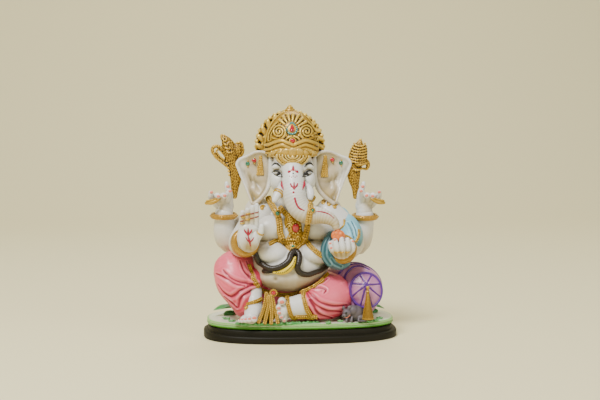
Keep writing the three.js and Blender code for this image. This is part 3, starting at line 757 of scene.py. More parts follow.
class Paints:
    """Every finish on the idol."""

    # Each finish lists base, a second colour that is mostly painted shade, painted shade for the hollows, a
    # painted highlight for the ridges, and the brush line.
    MARBLE = Paint(
        "marble_dust", "dfdfdb", "b2995f", "75694a", "fcfdff", "a3122f", 1.15, 0.45, 0.06, coat=0.15,
        soft=0.08, reach=9, gain=3.2
    )
    GOLD = Paint(
        "gold_leaf", "ad7f0c", "6e4508", "2a1800", "fbdc6a", "3d2402", hollow_shade_amount=2.4, light_amount=1.35,
        mottle=0.14, mottle_size=500.0, roughness=(0.3, 0.42), metallic=0.28, specular=0.45, reach=4, gain=6.0
    )
    CHAIN_GOLD = replace(
        GOLD, name="gold_chain", base="bd8f16", shade="543404", hollow_shade="2e1b02", light="fbe07c",
        hollow_shade_amount=1.5, light_amount=0.45, roughness=(0.28, 0.4), metallic=0.35, specular=0.5, reach=3,
        gain=2.0
    )
    OLD_GOLD = replace(
        GOLD, name="gold_old", base="8c640a", shade="5a3a06", hollow_shade="241400", light="eec24a", stroke="382102",
        light_amount=1.2, mottle=0.16, roughness=(0.32, 0.46), gain=7.0,
    )
    CUFF_GOLD = replace(
        GOLD, name="gold_cuff", base="965f06", shade="7a4f0a", hollow_shade="3a2303", light="f6cf60", stroke="3a2303",
        hollow_shade_amount=1.3, light_amount=0.3, mottle=0.16, mottle_size=400.0, roughness=(0.26, 0.38),
        metallic=0.3, specular=0.4, gain=5.0
    )
    LACE_GOLD = replace(
        GOLD, name="gold_lace", base="c49a30", shade="8a6010", hollow_shade="3a2303", light="fdeaa0", hollow_shade_amount=2.2,
        light_amount=1.4, roughness=(0.28, 0.4), metallic=0.25,
    )
    PINK = Paint(
        "dhoti_pink", "ef657c", "c42340", "8f0f2c", "fba4b0", "86082a", 1.6, 0.55, 0.06, coat=0.1, reach=9,
        gain=3.0
    )
    TEAL = Paint("shawl_blue", "7cb9ca", "1c5560", "1b4c54", "bfe6ee", "1a4f58", 1.1, 0.35, 0.07)
    LILAC = Paint(
        "bolster_lilac", "bd7ca2", "73378f", "5f2f82", "f0d6ec", "4b1f7a", 1.1, 0.4, 0.08, coat=0.15
    )
    SNAKE = Paint(
        "serpent_brown", "1d1407", "120b04", "060401", "584320", "0c0703", 1.2, 0.6, 0.2, 700.0, (0.3, 0.45)
    )
    BELLY_YELLOW = Paint("serpent_yellow", "e6c81e", "a07608", "5a3c04", "fbe968", "6b4a08", 1.2, 0.4)
    GREEN = Paint("leaf_green", "2c8a34", "1d5a2c", "0f3517", "8fd08a", "17401f", 1.4, 0.6, 0.2, 400.0)
    MOUSE = Paint(
        "mouse_grey", "574e53", "353035", "1c181b", "a0969c", "1a1517", 1.6, 0.6, 0.12, 500.0, (0.45, 0.6)
    )
    BLACK = Paint(
        "plinth_black", "191609", "211d10", "0c0b09", "2c2823", "0c0b09", 0.3, 0.25, 0.15, 90.0, (0.5, 0.62),
        specular=0.22
    )
    SLAB = Paint(
        "slab_glaze", "d7d9c4", "4f9429", "9ca583", "efefe4", "74ba4c", 0.3, 0.2, 0.06, 60.0, coat=0.2
    )
    CRIMSON = Paint(
        "brush_crimson", "a81735", "a81735", "7d0f26", "c22a4a", "7d0f26", mottle=0.15, mottle_size=900
    )
    CORAL = Paint("nail_coral", "f0866e", "e66a54", "c84a38", "f9ad98", "c84a38", mottle=0.1, coat=0.2)
    INK = Paint(
        "brow_ink", "22201f", "22201f", "0e0d0d", "3a3736", "0e0d0d", mottle=0.15, roughness=(0.3, 0.4)
    )
    UMBER = Paint("crease_umber", "8a3a2a", "8a3a2a", "5a2018", "a5523a", "5a2018", mottle=0.15)
    PURPLE = Paint("piping_purple", "5b2a8c", "4a1f78", "3a165f", "7d4bb0", "3a165f", mottle=0.12, coat=0.1)
    LID = Paint("lid_umber", "8a7a5c", "6b5c42", "4a3f2c", "a8997a", "4a3f2c", mottle=0.15)
    EYE_WHITE = Paint("eye_white", "a9a59a", "b8b7ae", "8f8e86", "f0f0ec", "8f8e86", coat=0.3)
    SWEET = Paint(
        "sweet_orange", "f07a34", "cf4f1c", "9a360e", "fbb27a", "b04418", 1.3, 0.5, 0.2, 700.0, (0.4, 0.55)
    )


@dataclass(frozen=True)
class Gem:
    """A polished cabochon."""

    name: str
    colour: str
    deep: str

    def material(self) -> bpy.types.Material:
        """The stone as a material, made once."""
        label = "painted_" + self.name
        made = bpy.data.materials.get(label)
        if made:
            return made
        made = bpy.data.materials.new(label)
        made.use_nodes = True
        nodes, links = made.node_tree.nodes, made.node_tree.links
        shader = nodes["Principled BSDF"]
        place = nodes.new("ShaderNodeTexCoord")
        cells = nodes.new("ShaderNodeTexVoronoi")
        cells.inputs["Scale"].default_value = 420
        links.new(place.outputs["Object"], cells.inputs["Vector"])
        tint = nodes.new("ShaderNodeValToRGB")
        tint.color_ramp.elements[0].color = rgb(self.colour)
        tint.color_ramp.elements[1].color = rgb(self.deep)
        links.new(cells.outputs["Distance"], tint.inputs["Fac"])
        links.new(tint.outputs["Color"], shader.inputs["Base Color"])
        shader.inputs["Roughness"].default_value = 0.08
        shader.inputs["Coat Weight"].default_value = 1.0
        shader.inputs["Coat Roughness"].default_value = 0.03
        return made


RUBY = Gem("gem_red", "d8142c", "6e0714")
EMERALD = Gem("gem_green", "2f8f6a", "0b3f30")
TURQUOISE = Gem("gem_turquoise", "4fa3a0", "1d5656")


class Slot(Enum):
    """The record's material slots."""

    PLINTH = "plinth_black"
    SLAB = "slab_white_green"
    LEAF = "leaf_green"
    MARBLE = "marble_white"
    GOLD = "gold_paint"
    PINK = "cloth_pink"
    BLUE = "shawl_blue"
    LILAC = "bolster_lilac"
    SERPENT = "serpent_brown"
    SWEET = "sweet_orange"
    GREY = "mouse_grey"
    GEM = "gem_red"


FINISHED: dict[str, Piece] = {}


def dress(obj: Piece, paint: Paint | Gem, slot: Slot, *nodes: str, relief: bool = True) -> Piece:
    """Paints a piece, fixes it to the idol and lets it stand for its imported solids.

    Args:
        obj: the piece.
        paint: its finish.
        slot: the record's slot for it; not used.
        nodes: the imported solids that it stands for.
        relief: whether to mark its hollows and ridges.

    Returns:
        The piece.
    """
    obj.data.materials.clear()
    obj.data.materials.append(paint.material())
    if relief and isinstance(paint, Paint):
        mark_relief(obj, paint.reach, paint.gain)
    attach(obj, "root")
    if nodes:
        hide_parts(*nodes)
    FINISHED[obj.name.removesuffix("_cast")] = obj
    LOG.info("%s: %d vertices", obj.name, len(obj.data.vertices))
    return obj


# ---------------------------------------------------------------- the base
@dataclass
class Base:
    """The stepped plinth, the slab on it and the plants painted green."""

    corners: int = 160
    squareness: float = 2.7
    plinth_half: tuple[float, float] = (83.0, 49.5)
    slab_half: tuple[float, float] = (80.2, 44.0)
    floor: float = 16.0

    def outline(self, half: tuple[float, float], inset: float) -> np.ndarray:
        """The rounded-oblong outline, moved inwards."""
        angle = np.linspace(0, 2 * math.pi, self.corners, endpoint=False)

        def power(values: np.ndarray) -> np.ndarray:
            return np.sign(values) * np.abs(values) ** (2 / self.squareness)

        return np.column_stack(
            [(half[0] - inset) * power(np.cos(angle)), (half[1] - inset) * power(np.sin(angle))]
        )

    def stacked(self, name: str, half: tuple[float, float], profile: Line) -> Piece:
        """A solid whose side follows a profile of inset and height, from the bottom to the top."""
        rows = [
            np.column_stack([self.outline(half, inset), np.full(self.corners, z)]) for inset, z in profile
        ]
        n = self.corners
        faces = [
            (k * n + i, k * n + (i + 1) % n, (k + 1) * n + (i + 1) % n, (k + 1) * n + i)
            for k in range(len(rows) - 1)
            for i in range(n)
        ]
        faces.append(tuple(range(n - 1, -1, -1)))
        faces.append(tuple((len(rows) - 1) * n + i for i in range(n)))
        mesh = bpy.data.meshes.new(name + "_cast")
        mesh.from_pydata((np.vstack(rows) * MM).tolist(), [], faces)
        made = add_object(name + "_cast", mesh)
        pick(made)
        bpy.ops.object.shade_smooth_by_angle(angle=math.radians(40))
        return made

    def build(self) -> None:
        """Builds and paints the base."""
        foot = [(0.6, 0), (0, 0.5), (0, 4.6), (0.3, 5.5), (1.0, 6.0), (3.2, 6.2), (3.9, 6.4)]
        step = [(4.0, 7.0), (4.0, 9.6), (4.3, 10.2), (5.0, 10.6)]
        plinth = self.stacked("plinth", self.plinth_half, [*foot, *step])
        dress(plinth, Paints.BLACK, Slot.PLINTH, "plinth", relief=False)
        side = [
            (1.6, 11.0), (0.5, 11.5), (0, 12.4), (0.2, 13.2), (0.9, 13.7), (0.9, 14.0), (0.3, 14.4),
            (0.2, 15.0)
        ]
        top = [(0.9, 15.6), (2.0, 15.9), (4, 16.0), (9, 16.0), (16, 15.9), (25, 16.0), (34, 16.0), (42, 16.0)]
        slab = self.stacked("lawn_slab", self.slab_half, [*side, *top])
        places = places_of(slab)
        across, deep = (np.abs(places[:, axis] / self.slab_half[axis]) ** self.squareness for axis in (0, 1))
        inset = 1 - across - deep
        set_mark(slab, Mark.SHADE, ramp(places[:, 2], 14.6, 12.6) * (inset < 0.2))
        edge = np.maximum(
            ramp(np.abs(places[:, 2] - 15.3), 0.8, 0.2), ramp(np.abs(places[:, 2] - 13.6), 0.6, 0.1)
        )
        set_mark(slab, Mark.LINE, edge * (inset < 0.2))
        dress(slab, Paints.SLAB, Slot.SLAB, "lawn_slab", relief=False)
        self.leaves()
        self.tufts()

    def leaf(self, clay: Clay, stem: Place, tip: Place, width: float, rise: float) -> None:
        """Adds one pointed leaf with a raised midrib."""
        a, b = np.asarray(stem, float), np.asarray(tip, float)
        middle = (a + b) / 2 + np.array([0, 0, rise])
        clay.rod([(*a, 0.8), (*middle, width), (*b, 0.5)], flat=0.22, deep=(0, 0, 1), sides=16)
        lift = np.array([0, 0, 0.22 * width])
        clay.rod([(*a, 0.5), (*(middle + lift), 0.6), (*b, 0.3)])

    def leaves(self) -> None:
        """The two large leaves at the back corners."""
        clay = Clay()
        self.leaf(clay, (-52, 12, 21.5), (-75.5, 0, 21.3), 7.0, 2.6)
        self.leaf(clay, (-50, 18, 21), (-66, 22, 21), 5.0, 2.0)
        clay.ball((-60, 11, 17.0), (5.5, 5.0, 2.6))
        dress(clay.melt("leaf_right", 0.6, 2), Paints.GREEN, Slot.LEAF, "leaf_right")
        clay = Clay()
        self.leaf(clay, (60, 14, 20), (75.0, 7, 19.6), 4.2, 2.4)
        clay.ball((65, 12, 17.0), (5.0, 4.5, 2.4))
        dress(clay.melt("leaf_left", 0.5, 2), Paints.GREEN, Slot.LEAF, "leaf_left")

    def tufts(self) -> None:
        """Low green tufts round the feet and the bolster."""
        clay = Clay()
        spots = [
            (-53, -38, 7), (-48, -42, 6), (-38, -42.5, 6), (-30, -42.5, 7), (-22, -42.5, 7), (-13, -42, 6),
            (-6, -41, 5), (2, -40, 6), (9, -39, 5), (50, -34, 5), (55.5, -37, 6), (61, -32, 6), (66, -24, 5),
            (31, -36, 4), (-60, -26, 6), (-64, -14, 6), (58, -14, 8), (48, -12, 8), (-62, 8, 7), (20, -42, 4),
        ]
        for i, (x, y, size) in enumerate(spots):
            for k in range(5):
                turn = math.radians(72 * k + 31 * i)
                reach = size * 0.55
                tip = (
                    x + reach * math.cos(turn), y + 0.5 * reach * math.sin(turn),
                    self.floor + 1.2 + 0.5 * (k % 2)
                )
                clay.rod([(x, y, self.floor - 0.4, 1.6), (*tip, 1.0)], flat=0.7, deep=(0, 0, 1), sides=8)
            if y < -30 and x < 12:
                clay.ball((x, y + 0.6, self.floor), (5.4, 2.6, 1.3), sides=20)
        tufts = clay.melt("grass_tufts", 0.7, 2)
        dress(tufts, Paints.GREEN, Slot.LEAF)


# ---------------------------------------------------------------- body
@dataclass
class Body:
    """The torso and the four bare arms."""

    torso: Piece | None = None

    def build(self) -> None:
        """Builds and paints the torso and arms."""
        clay = Clay()
        clay.ball((-10, -7, 60), (34, 27, 22), sides=40)
        clay.ball((-12, -11, 54), (29, 24, 14), sides=32)
        clay.ball((-7, 0, 92), (33, 21, 24), sides=40)
        clay.ball((-8, 10, 78), (31, 14, 34), sides=40)
        for side, x in ((-1, -28), (1, 14)):
            clay.ball((x, -13.5, 93), (13.5, 11.5, 11.5), (0, side * 14, 0))
            clay.ball((x + side * -2.5, -17, 72.5), (16, 15.5, 10.5), (0, side * -10, 0))
        clay.ball((-36, 0, 106), (12, 12, 13))
        clay.ball((25, 0, 105), (12, 12, 13))
        clay.ball((-7, -3, 117), (16, 14, 12))
        torso = clay.melt("torso", 0.8, 8)
        self.dent(torso, (-23.5, -32.5, 52.5), 2.2, 1.3)
        places = places_of(torso)
        # Painted shade: tan low on the belly, in a band under the chest and at the sides.
        low = ramp(places[:, 2], 70, 44) * 0.8
        folds = 0.5 * np.exp(-(((places[:, 2] - 84) / 3.5) ** 2)) * ramp(places[:, 1], -8, -18)
        sides = 0.3 * ramp(np.abs(places[:, 0] + 8), 12, 28) * ramp(places[:, 2], 70, 80)
        set_mark(torso, Mark.SHADE, low + folds * 0.6 + sides + 0.06)
        self.torso = dress(torso, Paints.MARBLE, Slot.MARBLE, "torso")
        self.arms()

    @staticmethod
    def dent(obj: Piece, place: Place, radius: float, depth: float) -> None:
        """Presses a small round hollow into a piece."""
        places = places_of(obj)
        gap = np.linalg.norm(places - np.asarray(place), axis=1)
        push = -depth * np.exp(-((gap / radius) ** 2))
        swell(obj, push)

    def arms(self) -> None:
        """The four arms, each a smooth limb from shoulder to wrist."""
        limbs = {
            "rear_arm_right": [
                (-34, 9, 102, 13), (-47, 9, 89, 13), (-59, 8, 81.5, 12), (-63.5, 5.5, 88, 10.6),
                (-65, 2.5, 99, 8.6), (-65.2, 2, 104, 8.2)
            ],
            "rear_arm_left": [
                (25, 9, 101, 13), (37, 9, 87, 13), (49, 8, 78.5, 12), (53.5, 5.5, 85, 10.6),
                (55.8, 2.5, 96, 8.6), (56.3, 2, 102, 8.0)
            ],
            "blessing_arm": [
                (-34, -4, 104, 12), (-44, -9, 91, 12), (-52, -16, 81, 10.5), (-49.5, -27, 80, 9.5)
            ],
            "offering_arm": [(24, -4, 104, 12.5), (35, -7, 93, 12.5), (43, -14, 81, 11), (36, -27, 76, 10)]
        }
        for name, line in limbs.items():
            clay = Clay()
            clay.rod(line, sides=28, steps=24)
            arm = clay.melt(name, 0.9, 6)
            places = places_of(arm)
            # Painted shade, a little all over and more lower down.
            set_mark(arm, Mark.SHADE, 0.14 + 0.5 * ramp(places[:, 2], 94, 72))
            dress(arm, Paints.MARBLE, Slot.MARBLE, name)


# ---------------------------------------------------------------- head
@dataclass
class Head:
    """The elephant head with its trunk, tusks, ears and painted features."""

    middle: float = -7.0
    skin: Piece | None = None
    trunk_line: tuple[tuple[float, ...], ...] = (
        (-8, -12, 152, 8.0), (-8, -18, 144.5, 9.2), (-8, -23.5, 135, 9.6), (-7.5, -28.5, 125.5, 9.8),
        (-6, -32, 117, 9.6), (-1.5, -34.8, 110.5, 9.2), (5, -36.6, 107, 8.3), (13, -38, 106.3, 7.0),
        (20, -39.8, 104.3, 5.6), (24.8, -40.8, 101, 4.3), (26.3, -41, 97.6, 3.4),
    )

    def build(self) -> None:
        """Builds and paints the head."""
        clay = Clay()
        x = self.middle
        clay.ball((x, -5, 143), (18.5, 19, 21), sides=36)
        clay.ball((x - 0.5, -10, 152), (16, 14.5, 11), sides=28)
        for side in (-1, 1):
            clay.ball((x - 0.5 + side * 11.5, -13.5, 134.5), (8.2, 9.5, 10.5))
            clay.ball((x - 0.5 + side * 13.0, -16.5, 146.8), (5.5, 4.2, 3.4), (0, side * 20, 0))
            clay.ball((x - 0.5 + side * 8.2, -21.5, 129.5), (4.8, 5.5, 5.0))
        clay.ball((x, -7, 123), (13.5, 12, 10))
        clay.ball((x, 1, 114), (15, 13, 12))
        clay.rod(self.trunk_line, sides=28, steps=60)
        skin = clay.melt("head_and_trunk", 0.6, 7)
        self.wrinkle(skin)
        self.skin = dress(skin, Paints.MARBLE, Slot.MARBLE, "head", "trunk")
        self.tusks()
        for side, name in ((-1, "ear_right"), (1, "ear_left")):
            self.ear(side, name)
        self.face()

    def wrinkle(self, skin: Piece) -> None:
        """Rings the trunk with fine creases, hollows the sockets and marks painted shade on the lower trunk.
        """
        places = places_of(skin)
        rows = smooth_line(self.trunk_line, 90)
        gap, share = line_distance(places, rows)
        near = ramp(gap, 12, 9.5) * ramp(places[:, 2], 139, 133)
        crease = np.sin(share * line_length(rows) * 2 * math.pi / 2.4)
        push = 0.09 * crease * near
        for x in (-20.3, 4.3):
            away = np.linalg.norm((places - np.array([x, -20.5, 140])) * (1, 0.6, 1.2), axis=1)
            push -= 0.9 * np.exp(-((away / 4.0) ** 2))
        swell(skin, push)
        # Painted shade low at the front of the trunk and along its middle.
        under = ramp(places[:, 2], 113, 100) * ramp(places[:, 1], -25, -33)
        left = ramp(gap, 13, 9) * ramp(places[:, 2], 132, 118) * 0.35
        set_mark(skin, Mark.SHADE, 0.5 * under + left)

    def tusks(self) -> None:
        """The broken right tusk with its gold band, and the short left tusk."""
        clay = Clay()
        clay.rod(
            [
                (-15.5, -22.5, 129, 4.2), (-19.6, -27.0, 125.6, 4.0), (-22.2, -30.0, 122.2, 3.4),
                (-24.0, -32.0, 119.2, 2.5)
            ],
            sides=20
        )
        dress(clay.melt("tusk_right", 0.5, 3), Paints.MARBLE, Slot.MARBLE, "tusk_right")
        clay = Clay()
        clay.rod(
            [
                (3.2, -22, 128.6, 4.2), (5.4, -27, 125.8, 4.0), (6.2, -30.0, 123.0, 3.2),
                (5.8, -31.4, 120.6, 2.3)
            ],
            sides=20
        )
        dress(clay.melt("tusk_left", 0.5, 3), Paints.MARBLE, Slot.MARBLE, "tusk_left")
        clay = Clay()
        clay.hoop((-20.9, -28.5, 124.0), (-0.5, -0.55, -0.66), 3.8, 0.8)
        clay.hoop((-19.9, -27.4, 125.3), (-0.5, -0.55, -0.66), 4.0, 0.6)
        dress(clay.join("tusk_bands"), Paints.CHAIN_GOLD, Slot.GOLD)

    def ear(self, side: int, name: str) -> None:
        """One fan-shaped ear: a cupped sheet with a rolled rim, an inner roll and soft folds.

        Args:
            side: -1 for the figure's right ear and 1 for its left.
            name: the piece's name.
        """
        reach = 0.95 if side < 0 else 1.06
        outer = smooth_line(
            [
                (19.0, 0, 154), (23.5, 0, 157.2), (31, 0, 157.8), (39, 0, 154.4), (48.4, 0, 149.6),
                (46.4, 0, 141), (42.8, 0, 132.5), (39.4, 0, 124.5), (36.8, 0, 117.5), (35.4, 0, 113.6)
            ],
            44
        )
        inner = smooth_line(
            [
                (18.6, 0, 151), (18.4, 0, 144), (18.6, 0, 133.5), (21.4, 0, 125), (27.5, 0, 118.4),
                (34.2, 0, 113.6)
            ],
            44
        )
        for edge in (outer, inner):
            edge[:, 0] = 19 + (edge[:, 0] - 19) * np.where(edge[:, 0] > 19, reach, 1.0)
        rows = 26

        def place(u: float, k: int) -> tuple[float, float, float]:
            spot = inner[k] * (1 - u) + outer[k] * u
            cup = 2.4 * math.sin(math.pi * min(1.0, u * 1.02)) ** 0.8
            folds = 1.15 * math.sin(k / 43 * 7 * math.pi + 1.5 * u) * math.sin(math.pi * u) ** 1.5
            y = -6.0 + 0.15 * (spot[0] - 19) + cup + folds - 0.42 * max(0.0, 132 - spot[2])
            return (self.middle + side * spot[0], y, spot[2])

        verts = [place(u, k) for u in np.linspace(0, 1, rows) for k in range(44)]
        faces = [
            (i * 44 + k, i * 44 + k + 1, (i + 1) * 44 + k + 1, (i + 1) * 44 + k)
            for i in range(rows - 1)
            for k in range(43)
        ]
        mesh = bpy.data.meshes.new("sheet")
        mesh.from_pydata([tuple(c * MM for c in v) for v in verts], [], faces)
        sheet = add_object("sheet", mesh)
        wall = sheet.modifiers.new("wall", "SOLIDIFY")
        wall.thickness, wall.offset = 2.6 * MM, 0.0
        apply_modifiers(sheet)
        clay = Clay()
        clay.parts.append(sheet)
        rim = [(*place(1.0, k), 1.35 if k < 26 else 1.2) for k in range(0, 44, 3)]
        clay.rod([(x, y - 0.5, z, r) for x, y, z, r in rim], steps=50)
        clay.rod([(x, y - 1.2, z, 2.1) for x, y, z in (place(0.03, k) for k in range(0, 44, 3))], steps=44)
        for u, first, last in ((0.72, 12, 40), (0.5, 16, 41), (0.86, 20, 42)):
            fold = [place(u, k) for k in np.linspace(first, last, 6).astype(int)]
            width = (0.5, 1.2, 1.6, 1.6, 1.2, 0.6)
            clay.rod([(x, y - 0.4, z, r) for (x, y, z), r in zip(fold, width)])
        ear = clay.melt(name, 0.7, 5)
        places = places_of(ear)
        # Painted shade in the ear's cup and on its lower part.
        out = np.abs(places[:, 0] - self.middle)
        cupped = ramp(out, 19, 24) * ramp(out, 44, 36) * 0.4
        set_mark(ear, Mark.SHADE, 0.24 + cupped * 1.3 + 0.3 * ramp(places[:, 2], 132, 116))
        dress(ear, Paints.MARBLE, Slot.MARBLE, name)

    def face(self) -> None:
        """Eyes, brows and the crimson brush marks, laid on the skin."""
        skin = Surface(self.skin)
        white, ink, lid, crimson, coral = Clay(), Clay(), Clay(), Clay(), Clay()
        flip = 2 * self.middle - 2.2
        for side in (-1, 1):

            def across(x: float) -> float:
                return x if side < 0 else flip - x

            spot = skin.touch((across(-20.4), -21, 139.9), -0.3)
            white.ball(spot, (3.6, 1.0, 1.4), (0, side * -24, 0))
            ink.ball(spot + (side * -0.2, -0.6, 0.1), (1.8, 0.7, 1.45), sides=16)
            upper = [
                (-25.0, 141.2, 0.3), (-23.2, 142.2, 0.5), (-20.6, 142.1, 0.6), (-18.2, 140.4, 0.5),
                (-16.2, 137.6, 0.3)
            ]
            lower = [(-24.4, 140.6, 0.2), (-22.2, 138.8, 0.3), (-19.6, 137.9, 0.3), (-16.4, 137.5, 0.25)]
            crease = [(-24.6, 143.4, 0.25), (-22, 144.3, 0.35), (-19.4, 143.6, 0.3), (-17.0, 141.4, 0.2)]
            brow = [(-25.4, 147.0, 0.4), (-23.4, 148.6, 0.8), (-20.8, 148.4, 0.85), (-18.2, 145.9, 0.3)]
            for clay, line, lift in (
                (ink, upper, 1.6), (ink, lower, 1.2), (lid, crease, 0.4), (ink, brow, 0.3)
            ):
                clay.rod(skin.lay([(across(x), z, r) for x, z, r in line], -21, lift), sides=8)
            root = [(-17.4, 134.5, 0.4), (-17.2, 131.4, 1.3), (-16.0, 127.4, 0.4)]
            crimson.rod(skin.lay([(across(x), z, r) for x, z, r in root], -26, 0.2), sides=8)
            crimson.ball(skin.touch((across(-11.2), -26, 142.2)), (1.5, 0.8, 1.25), sides=12)
            coral.ball(skin.touch((across(-9.4), -26, 143.6)), (0.9, 0.7, 0.8), sides=12)
        crimson.rod(skin.lay([(-8, 147, 0.4), (-8, 145.2, 1.0), (-8, 143.2, 0.6)], -26, 0.2), sides=8)
        ink.ball(skin.touch((-8, -26, 140.8)), 0.65, sides=10)
        for i in range(5):
            crimson.ball(skin.touch((-11.0 + 1.5 * i, -27, 138.6 - 0.9 * (i % 2))), 0.5, sides=8)
        self.bud(crimson, skin, -7.6, 131.2, 3.3, -30)
        crimson.ball(skin.touch((-8.2, -31, 125.4)), 0.95, sides=12)
        crimson.rod(
            skin.lay([(-8, 121.3, 0.9), (-6.6, 116.6, 0.8), (-4.4, 113.2, 0.75), (0, 110.9, 0.35)], -42, 0.1),
            sides=8
        )
        tail = [(9.8, 110.4, 0.3), (15, 109.8, 0.6), (20.5, 107.8, 0.45), (24.5, 104.4, 0.25)]
        crimson.rod(skin.lay(tail, -44, 0.1), sides=8)
        dress(white.join("eye_whites"), Paints.EYE_WHITE, Slot.MARBLE, relief=False)
        dress(ink.join("eye_ink"), Paints.INK, Slot.SERPENT, relief=False)
        dress(lid.join("eye_creases"), Paints.LID, Slot.SERPENT, relief=False)
        dress(crimson.join("brush_marks"), Paints.CRIMSON, Slot.GEM, relief=False)
        dress(coral.join("brow_dots"), Paints.CORAL, Slot.SWEET, relief=False)

    @staticmethod
    def bud(clay: Clay, skin: Surface, x: float, z: float, size: float, y: float) -> None:
        """A plain three-petalled bud in brush strokes."""
        for lean in (-1, 0, 1):
            tip = (x + lean * size * 0.9, z + size * (0.75 - 0.25 * abs(lean)), 0.3)
            middle = (x + lean * size * 0.75, z, 0.75)
            clay.rod(skin.lay([(x, z - size, 0.5), middle, tip], y, 0.1, 0.8), sides=8)


